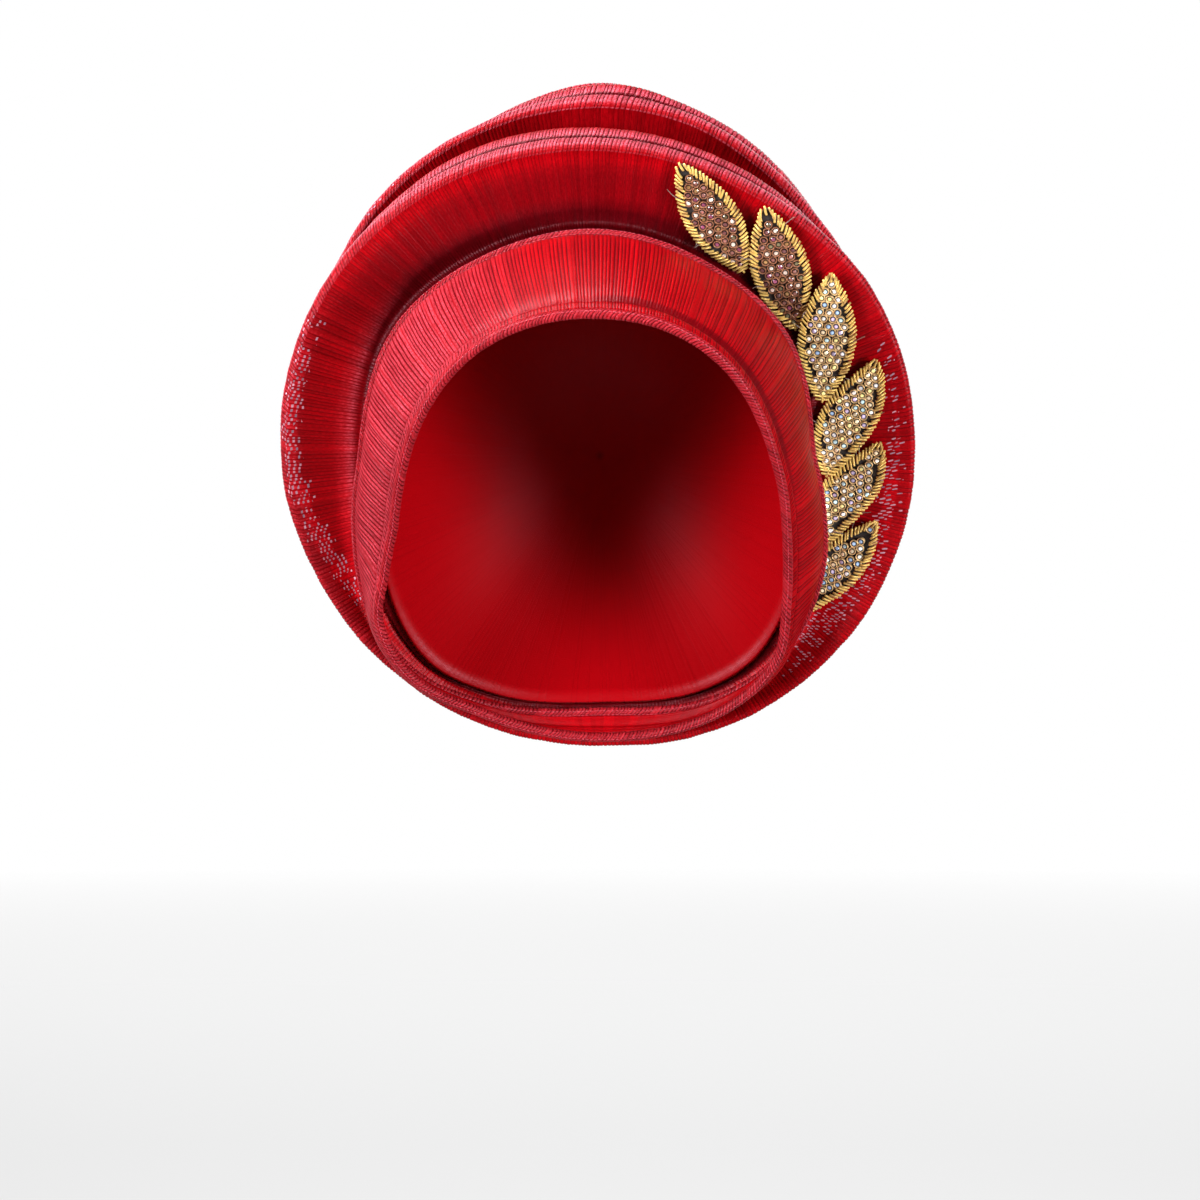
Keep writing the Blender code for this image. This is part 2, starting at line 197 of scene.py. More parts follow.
class Ramp(NamedTuple):
    """Straight rise to a height, from a start over a run, that may begin below nothing at a least share."""

    start: float
    run: float
    height: float = 1.0
    least: float = 0.0

    def of(self, values: Array) -> Array:
        """Heights at values."""
        return np.clip((values - self.start) / self.run, self.least, 1) * self.height


@dataclass(frozen=True)
class Foot:
    """Line round the head: its depth in millimetres at the top, the sides and the nape."""

    top: float
    side: float
    nape: float

    def depth(self, angles: Array) -> Array:
        """Depth at angles, in metres."""
        cosine = np.cos(np.radians(angles))
        tilt = (self.top - self.nape) / 2
        dish = (self.top + self.nape) / 2 - self.side
        return (self.side + tilt * cosine + dish * cosine * cosine) * MM


@dataclass(frozen=True)
class Ring(Foot):
    """Closed ring round the head: a foot's depths, and rows of (angle, radius in millimetres)."""

    radii: Rows = ()

    def point(self, angles: Array) -> Array:
        """Radius and depth at angles, in metres."""
        return np.stack((round_values(self.radii, angles) * MM, self.depth(angles)), -1)

    def tangent(self, angles: Array, step: float) -> Array:
        """Direction along the ring at angles, from the points a step in degrees away at both sides."""
        ahead = angles + step
        behind = angles - step
        return unit(place(ahead, self.point(ahead)) - place(behind, self.point(behind)))


FACE_EDGE = Ring(-77, -45, 63, (
    (-155, 112), (-140, 114), (-128, 107), (-120, 94), (-110, 82), (-90, 70), (-60, 57.5), (-30, 48.7),
    (0, 45), (30, 47), (60, 53), (90, 62.5), (110, 74), (120, 82), (130, 93), (140, 106), (155, 112),
    (180, 112)))
BAND_EDGE = Ring(-37, 3, 68, (
    (-155, 109), (-141, 113), (-128, 110), (-107, 98), (-90, 90), (-60, 87), (-30, 80),
    (0, 77.5), (30, 76.5), (60, 80), (90, 80), (105, 88), (120, 98), (140, 107), (155, 107), (180, 102)))
FRONT_RIM_FACE = Ring(-43, 12, 71, (
    (-150, 116), (-120, 119), (-90, 121.5), (-60, 119.7), (-30, 115.3),
    (0, 111.5), (30, 111.3), (60, 117.2), (90, 119.8), (120, 120.5), (150, 118), (180, 114)))
FRONT_RIM_BACK = Ring(-35, 20, 77, (
    (-150, 111), (-120, 116), (-90, 119), (-60, 119.4), (-30, 119),
    (0, 116), (30, 114.7), (60, 115.7), (90, 117.5), (120, 117), (150, 113), (180, 107)))
MIDDLE_RIM_FACE = Ring(-14, 30, 84, (
    (-150, 102), (-120, 111), (-90, 116), (-60, 121), (-45, 125.3), (-30, 128), (-15, 129.8),
    (0, 130.8), (15, 128.8), (30, 124), (45, 119.5), (60, 116.5), (90, 114.5), (120, 111), (150, 102),
    (180, 93)))
MIDDLE_RIM_BACK = Ring(-6, 37, 88, (
    (-150, 98), (-120, 108), (-90, 114), (-60, 121), (-45, 126.3), (-30, 128.8), (-15, 132.7),
    (0, 136), (15, 132), (30, 126.7), (45, 120.5), (60, 116), (90, 113), (120, 107.5), (150, 98), (180, 88)))
REAR_RADII = (
    (-150, 90), (-120, 100), (-90, 107), (-60, 115), (-30, 127), (-15, 135),
    (0, 140), (15, 134.5), (30, 126), (60, 113), (90, 105), (120, 99), (150, 89), (180, 78))
REAR_RIM_FACE = Ring(19, 46, 94, REAR_RADII)
REAR_RIM_BACK = Ring(25, 52, 100, REAR_RADII)
EAR_ROOM = ((-150, 3), (-125, 7), (-105, 6), (-75, 1), (-40, 0), (0, 0), (40, 0), (75, 1), (105, 6), (125, 7),
            (150, 3), (180, 1))


class Dish(NamedTuple):
    """Point of a fan's face: share of the way to its rim, and its fall as a share of the feet's spread."""

    way: float
    back: float


@dataclass(frozen=True)
class HeadForm:
    """The cap over the skull, to the middle of its wall."""

    skull_x: float = 79.5 * MM
    skull_y: float = 99.5 * MM
    skull_z: float = 85 * MM
    centre_y: float = 2 * MM
    edge_back: float = 0.8 * MM
    foot_lift: float = 2.2 * MM
    tangent_step: float = 6
    depth_step: float = 2 * MM

    @property
    def back(self) -> float:
        """Depth of the hindmost point."""
        return self.centre_y + self.skull_y

    def skull_radius(self, angles: Array, depths: Array) -> Array:
        """Radius of the skull's ellipsoid at angles and depths."""
        turn = np.radians(angles)
        across = 1 / np.hypot(np.sin(turn) / self.skull_x, np.cos(turn) / self.skull_z)
        along = (depths - self.centre_y) / self.skull_y
        return across * np.sqrt(np.maximum(0, 1 - along * along))

    def edge(self, angles: Array) -> Array:
        """Front edge of the cap at angles, just inside the piping of the band."""
        edge = BAND_EDGE.point(angles)
        inside = BAND_PIPING_RADIUS + GAP + CLOTH / 2 + round_values(EAR_ROOM, angles) * MM
        return np.stack((edge[..., 0] - inside, edge[..., 1] + self.edge_back), -1)

    def point(self, angles: Array, share: float) -> Array:
        """Cap wall at angles, from its front edge (share 0) to the back of the head (share 1)."""
        edge = self.edge(angles)
        depth = edge[..., 1] + (self.back - edge[..., 1]) * np.sin(share * math.pi / 2)
        spread = edge[..., 0] - self.skull_radius(angles, edge[..., 1])
        return np.stack((self.skull_radius(angles, depth) + spread * (1 - share), depth), -1)

    def radius(self, angles: Array, depths: Array) -> Array:
        """Radius of the cap's wall at angles and depths."""
        edge = self.edge(angles)
        rise = np.clip((depths - edge[..., 1]) / (self.back - edge[..., 1]), 0, 1)
        share = np.arcsin(rise) * 2 / math.pi
        spread = edge[..., 0] - self.skull_radius(angles, edge[..., 1])
        return self.skull_radius(angles, depths) + spread * (1 - share)

    def foot(self, foot: Foot, angles: Array) -> Array:
        """Radius and depth at angles where a fan's foot meets the cap, lifted clear of its wall."""
        depth = foot.depth(angles)

        def cap(angle: Array, at: Array) -> Array:
            """World position on the cap."""
            return place(angle, np.stack((self.radius(angle, at), at), -1))

        step = self.tangent_step
        round_it = cap(angles + step, depth) - cap(angles - step, depth)
        back = cap(angles, depth + self.depth_step) - cap(angles, depth - self.depth_step)
        facing = np.abs((unit(np.cross(round_it, back)) * outward(angles)).sum(-1))
        return np.stack((self.radius(angles, depth) + self.foot_lift / facing, depth), -1)


HEAD = HeadForm()


class Corners(NamedTuple):
    """Corners of a fan's plain section as radius and depth, and its directions along and out of the rim."""

    front_foot: Array
    dish: list[Array]
    start: Array
    face: Array
    back: Array
    end: Array
    rear_foot: Array
    along: Array
    out: Array


class RidgePoint(NamedTuple):
    """Point of a ridge: share of the half rim and metres from its crest, its drop, and the ribs' share."""

    share: float
    way: float
    drop: float
    relief: float


RIDGE_HEIGHT = 2.3 * MM
RIDGE = (
    RidgePoint(0, -2.35 * MM, 3.0 * MM, 0.6),
    RidgePoint(0, -2.85 * MM, 2.1 * MM, 0.8),
    RidgePoint(0, -2.0 * MM, CLOTH / 2 + 0.35 * MM, 1.0),
    RidgePoint(0, 0, CLOTH / 2, 1.0),
    RidgePoint(0.62, 0, CLOTH / 2 + 0.22 * RIDGE_HEIGHT, 1.0),
    RidgePoint(0.95, 0, CLOTH / 2 + 0.7 * RIDGE_HEIGHT, 0.8),
)


@dataclass(frozen=True)
class FanShape:
    """Plain shape of a fan: its feet on the cap, the points of its face and the crests of its two ridges."""

    front: Foot
    rear: Foot
    dish: tuple[Dish, ...]
    face: Ring
    back: Ring
    ridge_reach: float = 2.6 * MM
    ridge_drop: float = 2.4 * MM
    face_waver: Pair = (0.25, 0.3)
    back_waver: Pair = (0.2, -0.2)

    @property
    def rim_start(self) -> int:
        """Number of the section's point where the rim starts."""
        return len(self.dish) + 1

    @property
    def crease(self) -> int:
        """Number of the section's point between the two ridges."""
        return self.rim_start + len(RIDGE)

    def corners(self, angles: Array, uneven: Array | float = 0.0) -> Corners:
        """Corners of the section at angles, where the rim strays by an uneven column of metres."""
        front_foot = HEAD.foot(self.front, angles)
        rear_foot = HEAD.foot(self.rear, angles)
        face = self.face.point(angles) + uneven * np.array(self.face_waver)
        back = self.back.point(angles) + uneven * np.array(self.back_waver)
        along = unit(back - face)
        out = quarter_turn(along)
        start = face - along * self.ridge_reach - out * self.ridge_drop
        end = back + along * self.ridge_reach - out * self.ridge_drop
        fall = np.stack((np.zeros(len(angles)), rear_foot[:, 1] - front_foot[:, 1]), -1)
        dish = [front_foot + (start - front_foot) * row.way + fall * row.back for row in self.dish]
        return Corners(front_foot, dish, start, face, back, end, rear_foot, along, out)


FRONT_FAN = FanShape(Foot(-34, 6.5, 71), Foot(-12, 23, 77),
                     (Dish(0.12, 0.46), Dish(0.36, 0.38), Dish(0.70, 0.20)), FRONT_RIM_FACE, FRONT_RIM_BACK)
MIDDLE_FAN = FanShape(Foot(-9.5, 25.5, 79.5), Foot(17, 41, 85), (Dish(0.20, 0.25), Dish(0.60, 0.30)),
                      MIDDLE_RIM_FACE, MIDDLE_RIM_BACK)
REAR_FAN = FanShape(Foot(19.5, 43.5, 87.5), Foot(50, 64, 93), (Dish(0.20, 0.18), Dish(0.60, 0.20)),
                    REAR_RIM_FACE, REAR_RIM_BACK)


@dataclass(frozen=True)
class Ribs:
    """Fine pleats pressed into the cloth, each with a narrow groove and a flat crest, all a little uneven."""

    count: int
    seed: int
    unevenness: float = 0.35
    cuts: tuple[float, ...] = (0.0, 0.24, 0.76)
    faint: float = 0.5
    radii: Rows = ()
    crest_heights: Pair = (0.7, 1.0)
    faint_valleys: Pair = (0.35, 0.7)
    rear_heights: Pair = (0.85, 1.0)
    swell_weights: tuple[int, ...] = (1, 2, 3, 2, 1)

    def columns(self) -> tuple[Array, Array, Array]:
        """Angles of the columns, their lift from 0 to 1, and a slow swell of them from -1 to 1."""
        chance = np.random.default_rng(self.seed)
        widths = np.exp(chance.normal(0, self.unevenness, self.count))
        if self.radii:
            spread = np.linspace(-180, 180, 721)
            radius = round_values(self.radii, spread)
            run = np.concatenate(([0.0], np.cumsum(radius[:-1])))
            evenly = np.interp(np.linspace(0, run[-1], self.count + 1), run, spread)
            widths *= np.diff(evenly)
        widths *= 360 / widths.sum()
        starts = np.cumsum(widths) - widths - 180
        angles = (starts[:, None] + widths[:, None] * np.array(self.cuts)).ravel()
        heights = chance.uniform(*self.crest_heights, self.count)
        faint = chance.uniform(0, 1, self.count) < self.faint
        valleys = np.where(faint, chance.uniform(*self.faint_valleys, self.count), 0)
        rears = heights * chance.uniform(*self.rear_heights, self.count)
        lift = np.stack((valleys, heights, rears), 1).ravel()
        swell = chance.normal(0, 1, self.count)
        kernel = np.array(self.swell_weights) / sum(self.swell_weights)
        reach = len(kernel) // 2
        swell = np.convolve(np.concatenate((swell[-reach:], swell, swell[:reach])), kernel, "valid")
        swell = np.interp(angles, starts, swell / np.abs(swell).max(), period=360)
        return angles, lift, swell


def drift(angles: Array, seed: int, waves: Sequence[int]) -> Array:
    """Slow, closed unevenness at angles, from about -1 to 1, of waves that each go round so many times."""
    phases = np.random.default_rng(seed).uniform(0, 2 * math.pi, len(waves))
    turn = np.radians(angles)
    return sum(np.sin(wave * turn + phase) for wave, phase in zip(waves, phases)) / math.sqrt(len(waves))


def smooth_path(points: Array, steps: Sequence[int]) -> tuple[Array, Array]:
    """Smooth sections through control points.

    Args:
        points: Control points, as angles x points x 2.
        steps: How many pieces each span is cut into.

    Returns:
        The sections, and the place of each of their points as a count of control points.
    """
    gaps = np.linalg.norm(np.diff(points, axis=1), axis=2)[..., None]
    slopes = np.diff(points, axis=1) / gaps
    inner = (slopes[:, :-1] * gaps[:, 1:] + slopes[:, 1:] * gaps[:, :-1]) / (gaps[:, 1:] + gaps[:, :-1])
    tangents = np.concatenate((slopes[:, :1], inner, slopes[:, -1:]), axis=1)
    rows, places = [], []
    for span, count in enumerate(steps):
        t = (np.arange(count) / count)[None, :, None]
        here = slice(span, span + 1)
        following = slice(span + 1, span + 2)
        gap = gaps[:, here]
        rows.append(cubic(t, points[:, here], gap * tangents[:, here], points[:, following],
                          gap * tangents[:, following]))
        places.append(span + np.arange(count) / count)
    rows.append(points[:, -1:])
    places.append(np.array([len(steps)]))
    return np.concatenate(rows, axis=1), np.concatenate(places)


def section_normals(sections: Array) -> Array:
    """Outward normals of sections, in radius and depth."""
    return unit(quarter_turn(np.gradient(sections, axis=1)))


def rows_at(sections: Array, angles: Array, turn: Array) -> Array:
    """Sections that belong to angles, read at turned angles, as columns x rows, that differ by row."""
    rows = [[np.interp(turn[:, row], angles, sections[:, row, part], period=360) for part in (0, 1)]
            for row in range(turn.shape[1])]
    return np.array(rows).transpose(2, 0, 1)


# Meshes.


def read(items: bpy.types.bpy_prop_collection, name: str, kind: type, size: int = 1) -> Array:
    """One property of all items, as a flat array."""
    values = np.zeros(len(items) * size, kind)
    items.foreach_get(name, values)
    return values


def plain_mesh(name: str, points: Array, loops: Array, starts: Array, smooth: Array) -> Mesh:
    """Mesh from positions, each corner's point number, and each face's first corner and smoothness."""
    mesh = bpy.data.meshes.new(name)
    mesh.vertices.add(points.size // 3)
    mesh.loops.add(loops.size)
    mesh.polygons.add(starts.size)
    for items, key, values, kind in ((mesh.vertices, "co", points, np.float32),
                                     (mesh.loops, "vertex_index", loops, np.int32),
                                     (mesh.polygons, "loop_start", starts, np.int32),
                                     (mesh.polygons, "use_smooth", smooth, bool)):
        items.foreach_set(key, np.ascontiguousarray(values, kind).ravel())
    mesh.update(calc_edges=True)
    return mesh


def mesh_of(name: str, points: Array, faces: Sequence[Array],
            corners: Sequence[Array] | None = None) -> Mesh:
    """Smooth mesh from arrays.

    Args:
        name: Name of the mesh.
        points: Positions, as points x 3.
        faces: Arrays of point numbers, as faces x corners, one for each number of corners.
        corners: UV of each face corner, as faces x corners x 2, one for each array of faces.

    Returns:
        The new mesh.
    """
    loops = np.concatenate([group.ravel() for group in faces])
    sizes = np.concatenate([np.full(len(group), group.shape[1]) for group in faces])
    mesh = plain_mesh(name, points, loops, np.cumsum(sizes) - sizes, np.ones(len(sizes), bool))
    if corners is not None:
        uv = np.concatenate([group.reshape(-1) for group in corners])
        mesh.uv_layers.new(name="UVMap").data.foreach_set("uv", np.ascontiguousarray(uv, np.float32))
    return mesh


def set_value(mesh: Mesh, name: str, values: Array) -> None:
    """Stores one number for each point of a mesh, as a named attribute."""
    attribute = mesh.attributes.new(name, "FLOAT", "POINT")
    attribute.data.foreach_set("value", np.ascontiguousarray(values, np.float32).ravel())


def set_outer(mesh: Mesh, inner: Array, **values: Array) -> None:
    """Stores named values for the outer side of a cloth tube, and 0 on its inner side."""
    for name, value in values.items():
        set_value(mesh, name, np.pad(value, ((0, 0), (0, inner.shape[1]))))


def add_piece(name: str, mesh: Mesh, material: Material, replaces: Sequence[str] = ()) -> Object:
    """Shows a mesh as a piece of the head tie.

    Args:
        name: Name of the piece.
        mesh: Its mesh, in place.
        material: Its finish.
        replaces: CAD nodes that it stands for.

    Returns:
        The new object.
    """
    mesh.materials.clear()
    mesh.materials.append(material)
    obj = bpy.data.objects.new(name, mesh)
    bpy.context.scene.collection.objects.link(obj)
    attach(obj, ROOT)
    if replaces:
        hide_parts(*replaces)
    log.info("%s: %d faces", name, len(mesh.polygons))
    return obj


def strip_faces(index: Array, v: Array) -> tuple[Array, Array]:
    """Faces between neighbouring columns that go once round the head.

    Args:
        index: Point numbers, as columns x rows.
        v: V of each row.

    Returns:
        Four-cornered faces, and the UV of their corners.
    """
    columns, rows = index.shape
    right = np.roll(index, -1, 0)
    faces = np.stack((index[:, :-1], right[:, :-1], right[:, 1:], index[:, 1:]), -1)
    u = np.arange(columns + 1) / columns
    corners = np.zeros((columns, rows - 1, 4, 2))
    corners[..., 0, 0] = corners[..., 3, 0] = u[:-1, None]
    corners[..., 1, 0] = corners[..., 2, 0] = u[1:, None]
    corners[..., 0, 1] = corners[..., 1, 1] = v[None, :-1]
    corners[..., 2, 1] = corners[..., 3, 1] = v[None, 1:]
    return faces.reshape(-1, 4), corners.reshape(-1, 4, 2)


def run_along(points: Array) -> Array:
    """Distance along a row of points, from 0 to 1."""
    run = distances(points)
    return run / run[-1]


def cloth_tube(name: str, outer: Array, inner: Array | None = None) -> Mesh:
    """Closed wall that runs round the head, from its outer and inner side.

    Args:
        name: Name of the mesh.
        outer: Outer side, as angles x points x 3, from front to back.
        inner: Inner side in the same order, or nothing where the outer side closes on itself.

    Returns:
        The mesh, with a UV map whose U runs round the head and V along the section.
    """
    grid = outer if inner is None else np.concatenate((outer, inner[:, ::-1]), axis=1)
    columns, rows = grid.shape[:2]
    index = np.arange(columns * rows).reshape(columns, rows)
    closed = np.concatenate((index, index[:, :1]), axis=1)
    v = run_along(np.concatenate((grid[0], grid[0, :1])))
    faces, corners = strip_faces(closed, v)
    return mesh_of(name, grid.reshape(-1, 3), [faces], [corners])


def cloth_dome(name: str, outer: Array, inner: Array, outer_pole: Vector, inner_pole: Vector) -> Mesh:
    """Closed wall over the head, from its front edge to a pole at the back.

    Args:
        name: Name of the mesh.
        outer: Outer side, as angles x points x 3, from the front edge to near the pole.
        inner: Inner side in the same order.
        outer_pole: Where the outer side closes.
        inner_pole: Where the inner side closes.

    Returns:
        The mesh, with a UV map as cloth_tube gives it.
    """
    grid = np.concatenate((inner[:, ::-1], outer), axis=1)
    columns, rows = grid.shape[:2]
    index = np.arange(columns * rows).reshape(columns, rows)
    v = 0.02 + 0.96 * run_along(grid[0])
    faces, corners = strip_faces(index, v)
    poles = columns * rows + np.arange(2)
    u = np.arange(columns + 1) / columns
    ends = []
    end_corners = []
    for row, pole, rise, order in ((-1, poles[0], 1.0, 1), (0, poles[1], 0.0, -1)):
        pair = np.stack((index[:, row], np.roll(index[:, row], -1)), -1)[:, ::order]
        ends.append(np.concatenate((pair, np.full((columns, 1), pole)), 1))
        sides = np.stack((u[:-1], u[1:]), -1)[:, ::order]
        across = np.concatenate((sides, sides.mean(1, keepdims=True)), 1)
        end_corners.append(np.stack((across, np.broadcast_to((v[row], v[row], rise), across.shape)), -1))
    points = np.concatenate((grid.reshape(-1, 3), np.array((outer_pole, inner_pole))))
    return mesh_of(name, points, [faces, *ends], [corners, *end_corners])


def tube(points: Array, radius: float, sides: int) -> tuple[Array, Array]:
    """Thin round strand along points, open at its ends.

    Args:
        points: The middle line.
        radius: Half its thickness.
        sides: How many sides it has.

    Returns:
        Its points and four-cornered faces.
    """
    along = unit(np.gradient(points, axis=0))
    across = unit(np.cross(along, np.array((0.31, 0.72, 0.62))))
    up = np.cross(along, across)
    turn = (2 * math.pi * np.arange(sides) / sides)[None, :, None]
    ring = (across[:, None] * np.cos(turn) + up[:, None] * np.sin(turn)) * radius
    grid = points[:, None] + ring
    index = np.arange(len(points) * sides).reshape(len(points), sides)
    following = np.roll(index, -1, 1)
    faces = np.stack((index[:-1], following[:-1], following[1:], index[1:]), -1).reshape(-1, 4)
    return grid.reshape(-1, 3), faces


def stamp(name: str, shape: Mesh, places: Sequence[Matrix],
          tints: Sequence[tuple[float, float, float]] | None = None) -> Mesh:
    """One mesh with a copy of a small shape at each place, fused into one piece.

    Args:
        name: Name of the mesh.
        shape: The small shape.
        places: Where each copy goes.
        tints: Colour of each copy, stored as the attribute tint.

    Returns:
        The mesh. Its attributes run and off are how far a point lies along the small shape's Y and off its Z.
    """
    points = read(shape.vertices, "co", float, 3).reshape(-1, 3)
    loops = read(shape.loops, "vertex_index", np.int32)
    starts = read(shape.polygons, "loop_start", np.int32)
    smooth = read(shape.polygons, "use_smooth", bool)
    frames = np.array([np.array(matrix) for matrix in places])
    placed = np.einsum("kij,vj->kvi", frames[:, :3, :3], points) + frames[:, None, :3, 3]
    copies = np.arange(len(places))[:, None]
    mesh = plain_mesh(name, placed, loops + copies * len(points), starts + copies * len(loops),
                      np.tile(smooth, len(places)))
    set_value(mesh, "run", np.tile(points[:, 1], len(places)))
    set_value(mesh, "off", np.tile(np.hypot(points[:, 0], points[:, 1]), len(places)))
    if tints is not None:
        colours = np.concatenate((np.array(tints), np.ones((len(places), 1))), 1)
        tint = mesh.attributes.new("tint", "FLOAT_COLOR", "POINT")
        tint.data.foreach_set("color", np.repeat(colours, len(points), 0).astype(np.float32).ravel())
    return mesh


# Finishes.


class Nodes:
    """A node tree, with short calls for the nodes that the finishes use."""

    def __init__(self, tree: bpy.types.NodeTree) -> None:
        """Adds to a node tree."""
        self.tree = tree

    def node(self, kind: str, **settings: object) -> bpy.types.Node:
        """New node of a kind, with its settings."""
        node = self.tree.nodes.new(kind)
        for key, value in settings.items():
            setattr(node, key, value)
        return node

    def feed(self, socket: Socket, value: object) -> None:
        """Links a socket to another, or sets its value."""
        if isinstance(value, Socket):
            self.tree.links.new(value, socket)
        else:
            socket.default_value = value

    def math(self, operation: str, *values: object) -> Socket:
        """Result of a Math node."""
        node = self.node("ShaderNodeMath", operation=operation)
        for socket, value in zip(node.inputs, values):
            self.feed(socket, value)
        return node.outputs[0]

    def times(self, first: object, *others: object) -> Socket:
        """Product of values."""
        for other in others:
            first = self.math("MULTIPLY", first, other)
        return first

    def plus(self, first: object, second: object) -> Socket:
        """Sum of two values."""
        return self.math("ADD", first, second)

    def minus(self, first: object, second: object) -> Socket:
        """First value less the second."""
        return self.math("SUBTRACT", first, second)

    def off_middle(self, value: object) -> Socket:
        """Place between two whole numbers, from -0.5 to 0.5."""
        return self.minus(self.math("FRACT", value), 0.5)

    def part(self, vector: Socket, index: int) -> Socket:
        """One number of a vector."""
        node = self.node("ShaderNodeSeparateXYZ")
        self.feed(node.inputs[0], vector)
        return node.outputs[index]


class Scale(NamedTuple):
    """Two ranges, where the first is mapped to the second."""

    low: float
    high: float
    to_low: float
    to_high: float


class Graph(Nodes):
    """A material's node tree."""

    def __init__(self, name: str) -> None:
        """Starts a material with a Principled shader."""
        self.material = bpy.data.materials.new(name)
        self.material.use_nodes = True
        super().__init__(self.material.node_tree)
        self.shader = self.tree.nodes["Principled BSDF"]

    def fixed(self, **values: object) -> None:
        """Sets the shader's own sockets, named with underscores for spaces."""
        for key, value in values.items():
            self.feed(self.shader.inputs[key.replace("_", " ")], value)

    def attribute(self, name: str, output: str = "Fac") -> Socket:
        """Number of an attribute of the mesh, or its Color."""
        return self.node("ShaderNodeAttribute", attribute_name=name).outputs[output]

    def object_place(self) -> Socket:
        """Object coordinates."""
        return self.node("ShaderNodeTexCoord").outputs["Object"]

    def chance(self, value: Socket) -> Socket:
        """Random number from 0 to 1 that belongs to a number."""
        node = self.node("ShaderNodeTexWhiteNoise", noise_dimensions="1D")
        self.feed(node.inputs["W"], value)
        return node.outputs["Value"]

    def scaled(self, vector: Socket, scale: tuple[float, float, float]) -> Socket:
        """Vector times a fixed vector."""
        node = self.node("ShaderNodeVectorMath", operation="MULTIPLY")
        self.feed(node.inputs[0], vector)
        self.feed(node.inputs[1], scale)
        return node.outputs[0]

    def noise(self, vector: Socket, scale: float, detail: float = 2.0) -> Socket:
        """Noise from 0 to 1."""
        node = self.node("ShaderNodeTexNoise")
        self.feed(node.inputs["Vector"], vector)
        self.feed(node.inputs["Scale"], scale)
        self.feed(node.inputs["Detail"], detail)
        return node.outputs["Fac"]

    def remap(self, value: Socket, scale: Scale) -> Socket:
        """Value mapped from one range to another, and clamped."""
        node = self.node("ShaderNodeMapRange")
        for socket, number in zip(node.inputs, (value, *scale)):
            self.feed(socket, number)
        return node.outputs[0]

    def mix(self, share: object, first: object, second: object, blend: str = "MIX") -> Socket:
        """Mix of two colours."""
        node = self.node("ShaderNodeMix", data_type="RGBA", blend_type=blend)
        self.feed(node.inputs["Factor"], share)
        self.feed(node.inputs["A"], first)
        self.feed(node.inputs["B"], second)
        return node.outputs["Result"]

    def toned(self, colour: object, tone: object) -> Socket:
        """Colour made lighter or darker by a tone."""
        return self.mix(1.0, colour, tone, "MULTIPLY")

    def bump(self, height: Socket, distance: float) -> None:
        """Gives the shader a bump."""
        node = self.node("ShaderNodeBump")
        self.feed(node.inputs["Height"], height)
        self.feed(node.inputs["Distance"], distance)
        self.feed(node.inputs["Strength"], 1.0)
        self.fixed(Normal=node.outputs["Normal"])


